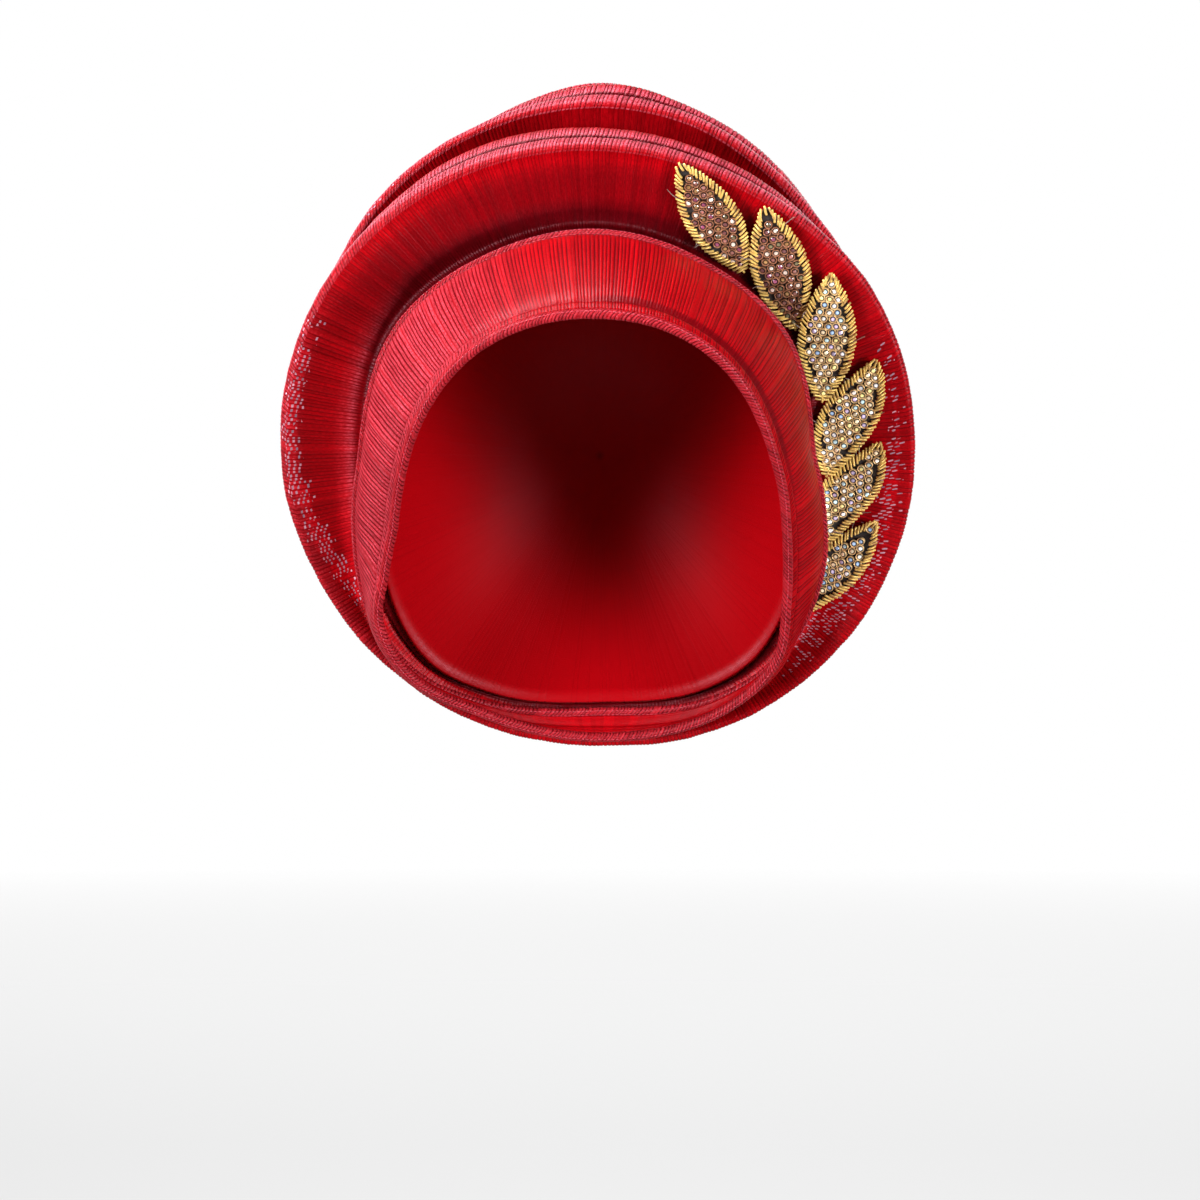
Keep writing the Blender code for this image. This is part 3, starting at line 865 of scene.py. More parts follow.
@dataclass(frozen=True)
class RibbedCloth:
    """Silky red cloth: painted shade in the valleys between the ribs and where the mesh asks, a painted
    highlight where the mesh asks, fine streaks, and lurex dashes where the mesh asks.
    """

    crest: Colour = (0.355, 0.0005, 0.003, 1)
    # Colour of the painted highlight.
    satin: Colour = (0.58, 0.10, 0.145, 1)
    # Colour of the painted shade in the rib valleys, creases, gutters and dishes.
    valley: Colour = (0.076, 0.0, 0.0015, 1)
    lurex: Colour = (0.66, 0.34, 0.43, 1)
    lurex_blue: Colour = (0.28, 0.18, 0.25, 1)
    plain_tone: Colour = (0.8, 0.8, 0.8, 1)
    specular: float = 0.16
    specular_tint: Colour = (1.0, 0.52, 0.62, 1)
    sheen: float = 0.01
    sheen_tint: Colour = (1.0, 0.50, 0.58, 1)
    roughness: Scale = Scale(0.3, 0.7, 0.29, 0.46)
    lurex_smoother: float = 0.15
    lurex_metal: float = 0.2
    streak_pitch: float = 0.30 * MM
    streak_length: float = 7 * MM
    streak_bump: float = 0.6
    grain_pitch: float = 0.42 * MM
    grain_length: float = 0.70 * MM
    grain_depth: float = 0.09 * MM
    cloud_scale: float = 42.0
    valley_share: Scale = Scale(0.15, 0.85, 0.0, 1.0)
    streak_tone: Scale = Scale(0.3, 0.7, 0.82, 1.10)
    grain_tone: Scale = Scale(0.3, 0.7, 0.74, 1.20)
    rib_tone: Scale = Scale(0.0, 1.0, 0.80, 1.10)
    cloud_tone: Scale = Scale(0.3, 0.7, 0.92, 1.06)
    # Painted light: the cloth is made lighter where the mesh has lurex belts.
    painted_belt_light: Scale = Scale(0.5, 0.75, 1.0, 1.5)
    # How the painted highlight follows the streaks, the grain and each rib's crest.
    streak_gleam: Scale = Scale(0.35, 0.65, 0.6, 1.0)
    grain_gleam: Scale = Scale(0.35, 0.65, 0.45, 1.25)
    crest_gleam: Scale = Scale(0.12, 0.36, 1.0, 0.22)
    dash_length: float = 1.25 * MM
    dash_slant: float = 0.35
    dash_half_width: Scale = Scale(0.0, 1.0, 0.15, 0.28)
    dash_half_length: Scale = Scale(0.0, 1.0, 0.42, 0.22)
    dash_side: Scale = Scale(0.0, 0.07, 0.0, 1.0)
    dash_end: Scale = Scale(0.0, 0.06, 0.0, 1.0)
    cluster_scale: tuple[float, float, float] = (420.0, 260.0, 1.0)
    cluster_share: Scale = Scale(0.38, 0.62, 0.3, 1.5)
    shuffle: tuple[float, float, float] = (7.31, 3.17, 91.7)

    def material(self, name: str, ribs: int, size: Pair) -> Material:
        """Finish for a piece.

        Args:
            name: Name of the material.
            ribs: How many ribs go round the piece.
            size: Length round the head and length along the section, in metres.

        Returns:
            The material.
        """
        g = Graph(name)
        uv = g.node("ShaderNodeUVMap", uv_map="UVMap").outputs[0]
        on_cloth = g.scaled(uv, (*size, 1.0))
        streaks = g.noise(g.scaled(on_cloth, (1 / self.streak_pitch, 1 / self.streak_length, 1.0)), 1.0)
        grain = g.noise(g.scaled(on_cloth, (1 / self.grain_pitch, 1 / self.grain_length, 1.0)), 1.0)
        rib = g.times(g.part(uv, 0), ribs)
        # Painted highlight where the mesh asks, strongest on each rib's crest and broken by streaks and
        # grain; it turns the colour towards pink.
        gleam = g.times(g.remap(streaks, self.streak_gleam), g.remap(grain, self.grain_gleam),
                        g.remap(g.math("ABSOLUTE", g.off_middle(rib)), self.crest_gleam))
        satin = g.times(g.attribute("satin"), gleam)
        # Painted shade: the mesh's value darkens the rib valleys, the creases, the gutters and the depth of
        # the dishes.
        valley = g.remap(g.attribute("valley"), self.valley_share)
        colour = g.mix(valley, g.mix(satin, self.crest, self.satin), self.valley)
        # Random tone of streaks, grain, ribs and clouds, and painted light that makes the cloth lighter in
        # the lurex belts.
        tone = g.times(g.remap(streaks, self.streak_tone), g.remap(grain, self.grain_tone),
                       g.remap(g.chance(g.math("FLOOR", rib)), self.rib_tone),
                       g.remap(g.noise(g.object_place(), self.cloud_scale, 3.0), self.cloud_tone),
                       g.remap(g.attribute("glint"), self.painted_belt_light))
        colour = g.toned(colour, g.mix(g.attribute("plain"), tone, self.plain_tone))
        shine, pick = self.dashes(g, uv, on_cloth, ribs, size[1])
        lurex = g.mix(g.chance(g.times(pick, self.shuffle[2])), self.lurex, self.lurex_blue)
        g.fixed(Base_Color=g.mix(shine, colour, lurex), Metallic=g.times(shine, self.lurex_metal),
                Roughness=g.minus(g.remap(grain, self.roughness), g.times(shine, self.lurex_smoother)),
                Specular_IOR_Level=self.specular, Specular_Tint=self.specular_tint, Sheen_Weight=self.sheen,
                Sheen_Roughness=0.3, Sheen_Tint=self.sheen_tint)
        g.bump(g.plus(grain, g.times(streaks, self.streak_bump)), self.grain_depth)
        return g.material

    def dashes(self, g: Graph, uv: Socket, on_cloth: Socket, ribs: int,
               length: float) -> tuple[Socket, Socket]:
        """Lurex dashes along the ribs, in loose clusters, wider and shorter on the left.

        Args:
            g: The material's nodes.
            uv: UV on the cloth.
            on_cloth: Place on the cloth in metres.
            ribs: How many ribs go round the piece.
            length: Length along the section, in metres.

        Returns:
            The share of lurex, and a number of each dash's own.
        """
        across = g.times(g.part(uv, 0), ribs)
        column = g.math("FLOOR", across)
        along = g.plus(g.times(g.part(uv, 1), length / self.dash_length), g.chance(column))
        row = g.math("FLOOR", along)
        pick = g.chance(g.plus(g.times(column, self.shuffle[0]), g.times(row, self.shuffle[1])))
        cluster = g.remap(g.noise(g.scaled(on_cloth, self.cluster_scale), 1.0, 1.0), self.cluster_share)
        wanted = g.math("LESS_THAN", pick, g.times(g.attribute("glint"), cluster))
        on_left = g.math("LESS_THAN", g.part(uv, 0), 0.5)
        lengthways = g.off_middle(along)
        sideways = g.plus(g.off_middle(across), g.times(lengthways, self.dash_slant))
        wide = g.minus(g.remap(on_left, self.dash_half_width), g.math("ABSOLUTE", sideways))
        long = g.minus(g.remap(on_left, self.dash_half_length), g.math("ABSOLUTE", lengthways))
        return g.times(wanted, g.times(g.remap(wide, self.dash_side), g.remap(long, self.dash_end))), pick


@dataclass(frozen=True)
class Thread:
    """Twisted thread of stitches and loose ends."""

    colour: Colour
    grain_scale: float = 2600.0
    grain_tone: Scale = Scale(0.3, 0.7, 0.7, 1.15)
    grain_depth: float = 0.05 * MM

    def material(self, name: str) -> Material:
        """Finish for stitches."""
        g = Graph(name)
        grain = g.noise(g.object_place(), self.grain_scale)
        g.fixed(Base_Color=g.toned(self.colour, g.remap(grain, self.grain_tone)), Roughness=0.3)
        g.bump(grain, self.grain_depth)
        return g.material


@dataclass(frozen=True)
class BullionGold:
    """Gold wire wound into thin springs: bright gold on the turns, painted shade between them, tarnished in
    places.
    """

    bright: Colour = (1.0, 0.76, 0.22, 1)
    between_turn_shade: Colour = (0.64, 0.32, 0.05, 1)
    dull: Colour = (0.30, 0.13, 0.03, 1)
    turn_pitch: float = 0.42 * MM
    turn_depth: float = 0.10 * MM
    tarnish_scale: float = 360.0
    tarnish_share: Scale = Scale(0.48, 0.70, 0.0, 0.85)
    roughness: Scale = Scale(0.0, 0.55, 0.30, 0.46)

    def material(self, name: str) -> Material:
        """Finish for the bullion."""
        g = Graph(name)
        wave = g.math("SINE", g.times(g.attribute("run"), 2 * math.pi / self.turn_pitch))
        turns = g.remap(wave, Scale(-1.0, 1.0, 0.0, 1.0))
        tarnish = g.remap(g.noise(g.object_place(), self.tarnish_scale), self.tarnish_share)
        # Painted shade: darker in the grooves between the turns.
        colour = g.mix(turns, self.between_turn_shade, self.bright)
        g.fixed(Base_Color=g.mix(tarnish, colour, self.dull), Metallic=0.3, Specular_IOR_Level=0.9,
                Roughness=g.remap(tarnish, self.roughness))
        g.bump(turns, self.turn_depth)
        return g.material


@dataclass(frozen=True)
class CupMetal:
    """Metal of the cups that hold the stones, with painted shade inside them."""

    colour: Colour
    wear_scale: float = 700.0
    wear_tone: Scale = Scale(0.3, 0.7, 0.75, 1.2)
    wear_depth: float = 0.04 * MM
    painted_cup_shade: Scale = Scale(1.12 * MM, 1.30 * MM, 0.15, 1.2)
    roughness: Scale = Scale(0.3, 0.7, 0.34, 0.48)

    def material(self, name: str) -> Material:
        """Finish for the cups."""
        g = Graph(name)
        wear = g.noise(g.object_place(), self.wear_scale)
        # Painted shade inside the cup, under the stone; the wall and rim a little lighter.
        tone = g.times(g.remap(wear, self.wear_tone), g.remap(g.attribute("off"), self.painted_cup_shade))
        g.fixed(Base_Color=g.toned(self.colour, tone), Metallic=0.3, Roughness=g.remap(wear, self.roughness))
        g.bump(wear, self.wear_depth)
        return g.material


@dataclass(frozen=True)
class CutCrystal:
    """Foil-backed crystal with a clear coat, a painted highlight in its middle and painted shade round its
    girdle, whose tint is stored on the mesh.
    """

    facet_scale: float = 900.0
    facet_tone: Scale = Scale(0.35, 0.65, 0.65, 1.2)
    painted_centre_light: Scale = Scale(0.45 * MM, 0.95 * MM, 1.8, 0.06)

    def material(self, name: str) -> Material:
        """Finish for the stones."""
        g = Graph(name)
        facets = g.remap(g.noise(g.object_place(), self.facet_scale, 1.0), self.facet_tone)
        # Painted highlight in the middle of each stone and painted shade round its girdle.
        tone = g.times(facets, g.remap(g.attribute("off"), self.painted_centre_light))
        g.fixed(Base_Color=g.toned(g.attribute("tint", "Color"), tone), Metallic=0.2, Roughness=0.07,
                Coat_Weight=0.8, Coat_Roughness=0.02)
        return g.material


@dataclass(frozen=True)
class Felt:
    """Dark felt under the stones."""

    colour: Colour = (0.008, 0.006, 0.006, 1)
    fluff_colour: Colour = (0.024, 0.017, 0.016, 1)
    fluff_scale: float = 1800.0
    fluff_depth: float = 0.15 * MM

    def material(self, name: str) -> Material:
        """Finish for the felt."""
        g = Graph(name)
        fluff = g.noise(g.object_place(), self.fluff_scale, 3.0)
        g.fixed(Base_Color=g.mix(fluff, self.colour, self.fluff_colour), Roughness=0.85, Sheen_Weight=0.2)
        g.bump(fluff, self.fluff_depth)
        return g.material


# Cloth pieces.


def add_cloth(name: str, mesh: Mesh, finish: RibbedCloth, ribs: Ribs, size: Pair) -> Object:
    """Shows a mesh as ribbed cloth in place of the CAD node of that name."""
    material = finish.material(name + "_cloth", ribs.count, size)
    return add_piece(name + "_cloth", mesh, material, [name])


class Mark(NamedTuple):
    """Tone on a fan, painted shade, painted highlight or a share of lurex flecks: its amount, and the places
    along the section and the angles where it shows.
    """

    amount: float
    places: Span
    angles: Span = Span(-400, 400, 1)

    def of(self, angles: Array, places: Array) -> Array:
        """Tone at angles and places."""
        return self.amount * self.places.of(places) * self.angles.of(angles)


@dataclass
class Fan:
    """A stiffened fan round the head: dished face, a rim of two rolled ridges with a crease, a back slope.

    Places along its section are counted in control points: 0 is the front foot, then come the dish, the rim
    and the back slope. Methods take angles as a column.
    """

    name: str
    shape: FanShape
    ribs: Ribs
    seed: int
    # Amounts of painted shade in the depth of the dish and in the gutter at the front foot.
    depth_shade: float
    gutter: float = 0.5
    lip_back: float = 0.0
    belly: float = 0.6 * MM
    # Angle and place along the section where the painted highlight of the rim starts and ends.
    shine_from: float = -110
    shine_to: float = 3.4
    crease_depth: float = 2.565 * MM
    crease_half: float = 0.30 * MM
    rib_height: float = 0.34 * MM
    waver: float = 0.35 * MM
    rim_lean: float = 0.5
    both_sides: float = 2.1
    cut: Pair = (0.76, 0.078)
    finish: RibbedCloth = field(default_factory=RibbedCloth)

    WAVES = (7, 11, 16, 23)
    FOOT_STEPS = 2
    DISH_STEPS = 3
    RIM_STEPS = 2
    BACK_STEPS = 3
    INNER_STEP = 3
    LEAN_ANGLES = Span(-125, 105, 35)
    LEAN_AT_TOP = 24
    LEAN_FALL = 0.9
    LEAN_LIMITS = (-32, 50)
    LEAN_POINTS = 10
    SHINE_END = (95, 40)
    SHINE_START = -4.8
    GUTTER_WIDTH = 1.4
    LEAST_SHINE = 0.3
    # Painted shade in the crease, in the depth of the dish and near the front foot, a painted highlight along
    # the dotted line, and lurex flecks on the left shoulder.
    PAINTED_CREASE_SHADE = Mark(0.95, Span(-1.1, 2.0, 0.5))
    PAINTED_DISH_SHADE = Mark(0.65, Span(-1, 3.9, 0.8), Span(-85, 65, 40))
    PAINTED_FOOT_SHADE = Mark(0.35, Span(-1, 2.15, 0.3), Span(-85, 65, 40))
    PAINTED_DOT_HIGHLIGHT = Mark(0.9, Span(0.1, 0.9, 0.3), Span(-100, 70, 30))
    FLECKS = Mark(0.5, Span(1, 6, 1.0), Span(-75, -32, 12))

    def controls(self, angles: Array) -> tuple[Array, list[int], list[float]]:
        """Control points of the section, to the middle of the wall.

        Args:
            angles: Angles in degrees.

        Returns:
            The points, the steps of each span, and the share of the ribs' height at each point.
        """
        c = self.shape.corners(angles, drift(angles, self.seed, self.WAVES)[:, None] * self.waver)
        wide = np.linalg.norm(c.back - c.face, axis=1, keepdims=True) / 2 - self.crease_half
        near = [c.face + c.along * (wide * row.share + row.way) - c.out * row.drop for row in RIDGE]
        far = [c.back - c.along * (wide * row.share + row.way) - c.out * row.drop for row in reversed(RIDGE)]
        lip = c.front_foot + np.array((0.0, self.lip_back))
        crease = (c.face + c.back) / 2 - c.out * (CLOTH / 2 + self.crease_depth)
        slope = c.rear_foot - c.end
        bulge = c.end + slope * 0.5 + quarter_turn(unit(slope)) * self.belly
        points = [lip, *c.dish, *near, crease, *far, bulge, c.rear_foot]
        dish = len(c.dish)
        ridge = [row.relief for row in RIDGE]
        relief = [0.35, 0.8] + [0.62] * (dish - 1) + ridge + [0.5] + ridge[::-1] + [0.7, 0.4]
        steps = [self.FOOT_STEPS] + [self.DISH_STEPS] * dish + [self.RIM_STEPS] * (2 * len(RIDGE))
        return np.stack(points, 1), steps + [self.BACK_STEPS] * 2, relief

    def sides(self) -> tuple[Array, Array, dict[str, Array]]:
        """Outer and inner side of the wall, and what the finish needs.

        Returns:
            Outer side, inner side, and the values of painted shade, lurex share and painted highlight for
            each point of the outer side.
        """
        angles, lift, swell = self.ribs.columns()
        column = angles[:, None]
        points, steps, relief = self.controls(angles)
        section, places = smooth_path(points, steps)
        normals = section_normals(section)
        numbers = np.arange(len(relief))
        share = np.interp(places, numbers, relief)
        height = (lift[:, None] - RIB_LEVEL) * self.rib_height * share
        height += swell[:, None] * np.interp(places, numbers, self.fold_shares(len(relief))) * self.waver
        height += self.folds(column, places)
        outer = section + normals * (CLOTH / 2 + height)[..., None]
        on_rim = places - self.shape.rim_start
        in_rim = (on_rim > 0) & (on_rim < 2 * len(RIDGE))
        inner_rows = np.flatnonzero(~in_rim | (on_rim % self.INNER_STEP == 0))
        inner = (section - normals * (CLOTH / 2))[:, inner_rows]
        turn = column + self.slant(column, places)
        # Painted shade in rib valleys and shaded places, the share of lurex, and painted highlight on the
        # rim.
        shade = np.minimum(self.shade(column, places), 1)
        values = {"valley": np.maximum((1 - lift)[:, None] * share, shade),
                  "glint": self.glint(column, outer, places),
                  "satin": self.shine(column, places) + self.dotted(column, places)}
        return place(turn, outer), place(turn[:, inner_rows], inner), values

    def shade(self, angles: Array, places: Array) -> Array:
        """How dark the painted shade makes the crease, the gutter at the front foot and the depth of the
        dish.
        """
        crease = self.PAINTED_CREASE_SHADE.of(angles, places - self.shape.crease)
        gutter = np.exp(-(places / self.GUTTER_WIDTH) ** 8) * self.gutter
        deep = self.PAINTED_DISH_SHADE.of(angles, places) + self.PAINTED_FOOT_SHADE.of(angles, places)
        return crease + gutter + self.depth_shade * deep

    def shine(self, angles: Array, places: Array) -> Array:
        """Painted highlight of the rim."""
        lit = self.LEAST_SHINE + (1 - self.LEAST_SHINE) * Span(self.shine_from, *self.SHINE_END).of(angles)
        return Span(self.SHINE_START, self.shine_to, 1.0).of(places - self.shape.crease) * lit

    def dotted(self, angles: Array, places: Array) -> Array:
        """Painted highlight of the dotted line just below the front ridge."""
        return self.PAINTED_DOT_HIGHLIGHT.of(angles, places - self.shape.rim_start)

    def glint(self, angles: Array, outer: Array, places: Array) -> Array:
        """Share of lurex flecks that show at each point: a few on the left shoulder of the rim."""
        return self.FLECKS.of(angles, places - self.shape.rim_start)

    def folds(self, angles: Array, places: Array) -> Array:
        """Height of soft folds in the face, in metres: none, on a plain fan."""
        return np.zeros((len(angles), len(places)))

    def fold_shares(self, count: int) -> list[float]:
        """How much of the slow swell each control point shows."""
        dish = len(self.shape.dish)
        return [0.0] + [0.8] * dish + [0.5] * (count - dish - 3) + [0.9, 0.0]

    def slant(self, angles: Array, places: Array) -> Array:
        """Turn of the ribs along the section, in degrees: on the rim they stand up, not outwards."""
        lean = np.clip(self.LEAN_AT_TOP - self.LEAN_FALL * angles, *self.LEAN_LIMITS)
        lean = np.tan(np.radians(lean)) * self.LEAN_ANGLES.of(angles)
        return self.rim_lean * lean * np.clip(places - self.shape.rim_start, 0, self.LEAN_POINTS)

    def pressed(self, outer: Array) -> Array:
        """Outer side after what lies on it has pressed it in: nothing, on a plain fan."""
        return outer

    def build(self) -> Object:
        """Builds the fan."""
        outer, inner, values = self.sides()
        outer = self.pressed(outer)
        mesh = cloth_tube(self.name, outer, inner)
        set_outer(mesh, inner, **values)
        around = distances(outer[:, outer.shape[1] // 2])[-1]
        along = distances(outer[0])[-1]
        size = (around, self.both_sides * along)
        piece = add_cloth(self.name, mesh, self.finish, self.ribs, size)
        log.info("%s: %.0f mm round, %.0f mm along the section", self.name, around / MM, along / MM)
        return piece


class Dent(NamedTuple):
    """Soft dent in the band: its ends as angle and share of the way, its depth and width in millimetres."""

    start: Pair
    end: Pair
    depth: float
    width: float


@dataclass
class Band:
    """The ribbed band over the forehead, with a hem fold along its front edge."""

    name: str = "front_band"
    cut: Pair = (0.56, 0.045)
    ribs: Ribs = Ribs(360, 21, 0.16, faint=0.1, radii=((0, 61), (50, 66), (90, 76), (130, 97), (180, 107),
                                                       (-130, 103), (-90, 80), (-50, 68)))
    bulge: float = 2.5 * MM
    hem: float = 3.0 * MM
    hem_end: float = 0.03
    fold_narrow: float = 1.0 * MM
    fold_wide: float = 3.2 * MM
    sway: float = 14.5
    sway_middle: float = 0.35
    rib_height: float = 0.32 * MM
    waver: float = 0.2 * MM
    fine_angles: int = 1440
    surface: Pair = (0.55, 0.11)
    dents: tuple[Dent, ...] = (
        Dent((-6, 0.20), (62, 0.36), 0.75, 4.5), Dent((12, 0.42), (70, 0.62), 0.45, 5.0),
        Dent((-70, 0.30), (-28, 0.72), 0.5, 5.0), Dent((-95, 0.55), (-50, 0.80), 0.4, 4.5))
    dent_scale: Pair = (math.radians(75), 50.0)
    finish: RibbedCloth = field(default_factory=RibbedCloth)

    OPEN_ANGLES = Span(-14, 112, 26)
    # Painted shade in the hem fold, stronger where the band opens out, and a painted highlight on the band's
    # left side.
    PAINTED_FOLD_TONE = Span(2.3, 5.2, 0.8)
    FOLD_SHADE = 0.35
    SHINE_ANGLES = Span(-165, -18, 50)
    SHINE = 0.5

    def slant(self, ring: Ring, angles: Array, along: Array) -> Array:
        """How much longer a step along a section is than its distance from the ring that it leaves."""
        turn = np.radians(angles)
        step = np.stack((along[:, 0] * np.sin(turn), along[:, 1], along[:, 0] * np.cos(turn)), -1)
        tangent = ring.tangent(angles, HEAD.tangent_step)
        return 1 / np.linalg.norm(np.cross(step, tangent), axis=1, keepdims=True)

    def controls(self, angles: Array) -> tuple[Array, list[int], list[float], list[float]]:
        """Control points of the section, to the middle of the wall.

        Args:
            angles: Angles in degrees.

        Returns:
            The points, the steps of each span, and at each point the shares of the ribs' height and the way.
        """
        face = FACE_EDGE.point(angles)
        rear = BAND_EDGE.point(angles)
        along = unit(rear - face)
        out = quarter_turn(along)
        start = face + along * (FACE_PIPING_RADIUS + SEAM) * self.slant(FACE_EDGE, angles, along)
        end = rear - along * (BAND_PIPING_RADIUS + SEAM) * self.slant(BAND_EDGE, angles, along)
        width = np.linalg.norm(end - start, axis=1, keepdims=True)
        hem = np.minimum(self.hem / width, 0.2)
        fold = self.fold_narrow + self.fold_wide * self.OPEN_ANGLES.of(angles[:, None])
        fold = np.minimum(fold / width, 0.25)
        flat = hem + fold + self.hem_end
        rows = [(hem * 0, 0.0, 0.5), (hem * 0.5, 0.3, 1.0), (hem, 0.15, 0.9), (hem + fold * 0.25, -0.5, 0.5),
                (hem + fold * 0.8, -0.45, 0.5), (flat, 0.0, 0.9)]
        for way, relief in ((0.2, 1.0), (0.4, 1.0), (0.6, 1.0), (0.8, 1.0), (0.93, 0.7), (1.0, 0.7)):
            rows.append((flat + (1 - flat) * way, 0.0, relief))
        points = [start + (end - start) * share + out * (self.bulge * 4 * share * (1 - share) + lift * MM)
                  for share, lift, _ in rows]
        steps = [2] * (len(rows) - 1)
        return np.stack(points, 1), steps, [row[2] for row in rows], [float(row[0].mean()) for row in rows]

    def build(self) -> Object:
        """Builds the band."""
        angles, lift, swell = self.ribs.columns()
        column = angles[:, None]
        fine = np.linspace(-180, 180, self.fine_angles, endpoint=False)
        points, steps, relief, shares = self.controls(fine)
        base, places = smooth_path(points, steps)
        share = np.interp(places, np.arange(len(relief)), relief)
        way = np.interp(places, np.arange(len(shares)), shares)
        base = base + section_normals(base) * self.creases(fine, way)[..., None]
        turn = column - self.sway * np.sin(np.radians(column)) * (way**0.7 - self.sway_middle)
        section = rows_at(base, fine, turn)
        normals = unit(rows_at(section_normals(base), fine, turn))
        height = (lift[:, None] - RIB_LEVEL) * self.rib_height * share
        height += swell[:, None] * np.sin(math.pi * way) * self.waver
        outer = section + normals * (BAND_WALL / 2 + height)[..., None]
        rows = np.flatnonzero(np.isclose(places, np.round(places)))
        inner = (section - normals * (BAND_WALL / 2))[:, rows]
        mesh = cloth_tube(self.name, place(turn, outer), place(turn[:, rows], inner))
        # Painted shade in the rib valleys and the hem fold, and a painted highlight on the left side.
        fold = self.PAINTED_FOLD_TONE.of(places) * self.FOLD_SHADE * (1 + self.OPEN_ANGLES.of(column))
        valley = np.maximum((1 - lift)[:, None] * share, fold)
        satin = np.broadcast_to(self.SHINE_ANGLES.of(column) * self.SHINE, valley.shape)
        set_outer(mesh, inner, valley=valley, satin=satin, glint=np.zeros(valley.shape))
        return add_cloth(self.name, mesh, self.finish, self.ribs, self.surface)

    def creases(self, angles: Array, way: Array) -> Array:
        """Soft dents where the band is pulled over the brow, in metres."""
        scale = np.array(self.dent_scale)
        spot = np.stack(np.broadcast_arrays(angles[:, None], way[None, :]), -1) * scale
        depth = np.zeros(spot.shape[:2])
        for dent in self.dents:
            start = np.array(dent.start) * scale
            reach = np.array(dent.end) * scale - start
            t = np.clip(((spot - start) @ reach) / (reach @ reach), 0, 1)
            gap = np.linalg.norm(spot - start - t[..., None] * reach, axis=-1)
            ends = np.sin(math.pi * np.clip(t, 0.06, 0.94))
            depth -= dent.depth * MM * np.exp(-(gap / dent.width) ** 2) * ends
        return depth


@dataclass
class Piping:
    """Rolled piping along a ring, wrapped in slanting ribs."""

    name: str
    ring: Ring
    radius: float
    ribs: Ribs
    sides: int = 12
    rib_height: float = 0.32 * MM
    rib_level: float = 0.75
    swell: float = 0.1 * MM
    lean: float = 1.6 * MM
    lean_side: float = 60
    # Painted highlight all round the piping.
    shine: float = 0.25
    finish: RibbedCloth = field(default_factory=RibbedCloth)

    TANGENT_STEP = 0.5

    def frame(self, angles: Array) -> tuple[Array, Array, Array, Array]:
        """Middle line of the piping and its tangent, outward and backward directions at angles."""
        along = self.ring.tangent(angles, self.TANGENT_STEP)
        out = outward(angles)
        out = unit(out - along * (out * along).sum(-1, keepdims=True))
        return place(angles, self.ring.point(angles)), along, out, np.cross(out, along)

    def on_skin(self, angles: Array, side: Array, radius: float | Array) -> Array:
        """Positions on the piping: side is the angle round it in degrees, 0 outward and -90 to the front."""
        middle, _, out, backward = self.frame(angles)
        turn = np.radians(side)
        return middle + (out * np.cos(turn)[..., None] + backward * np.sin(turn)[..., None]) * radius

    def build(self) -> Object:
        """Builds the piping."""
        angles, lift, swell = self.ribs.columns()
        side = np.arange(self.sides) * 360 / self.sides - 180
        lean = np.degrees(self.lean / self.ring.point(angles)[:, 0])
        turn = angles[:, None] + lean[:, None] * np.sin(np.radians(side + self.lean_side))[None, :]
        radius = self.radius + (lift - self.rib_level) * self.rib_height + swell * self.swell
        points = self.on_skin(turn, np.broadcast_to(side, turn.shape), radius[:, None, None])
        mesh = cloth_tube(self.name, points)
        # Painted shade in the rib valleys and an even painted highlight.
        set_value(mesh, "valley", np.broadcast_to((1 - lift)[:, None], turn.shape))
        set_value(mesh, "glint", np.zeros(turn.size))
        set_value(mesh, "satin", np.full(turn.size, self.shine))
        size = (distances(points[:, 0])[-1], 2 * math.pi * self.radius)
        material = self.finish.material(self.name + "_cloth", self.ribs.count, size)
        return add_piece(self.name + "_roll", mesh, material, [self.name])


@dataclass
class StitchRow:
    """Row of topstitches along a piping, one small thread loop after another."""

    name: str
    piping: Piping
    side: float
    seed: int
    pitch: float = 1.7 * MM
    length: float = 1.1 * MM
    thickness: float = 0.40 * MM
    proud: float = 0.1 * MM
    stray: float = 0.08
    swing: float = 0.16
    path_points: int = 1441
    finish: Thread = Thread((0.48, 0.038, 0.066, 1))

    def loop(self) -> Mesh:
        """One stitch, lying along Y."""
        stitch = start_shape("uv_sphere", segments=6, ring_count=5, radius=self.thickness / 2)
        with editing():
            bpy.ops.mesh.select_all(action="SELECT")
            turn_selected(90, "X")
            bpy.ops.transform.resize(value=(1, self.length / self.thickness, 1))
        bpy.ops.object.shade_smooth()
        return take_mesh(stitch)

    def line(self, angles: Array) -> Array:
        """Positions of the row at angles."""
        return self.piping.on_skin(angles, np.full(angles.shape, self.side), self.piping.radius + self.proud)

    def build(self) -> Object:
        """Builds the row."""
        chance = np.random.default_rng(self.seed)
        fine = np.linspace(-180, 180, self.path_points)
        run = distances(self.line(fine))
        count = int(run[-1] / self.pitch)
        spots = (np.arange(count) + chance.uniform(-self.stray, self.stray, count)) * run[-1] / count
        angles = np.interp(spots, run, fine)
        points = self.line(angles)
        middle, along, _, _ = self.piping.frame(angles)
        out = unit(points - middle)
        swings = chance.uniform(-self.swing, self.swing, count)
        places = []
        for spot, x, y, z, swing in zip(points, np.cross(along, out), along, out, swings):
            matrix = Matrix((x, y, z)).transposed().to_4x4()
            matrix.translation = spot
            places.append(matrix @ Matrix.Rotation(swing, 4, "Z"))
        mesh = stamp(self.name, self.loop(), places)
        return add_piece(self.name, mesh, self.finish.material(self.name + "_thread"))


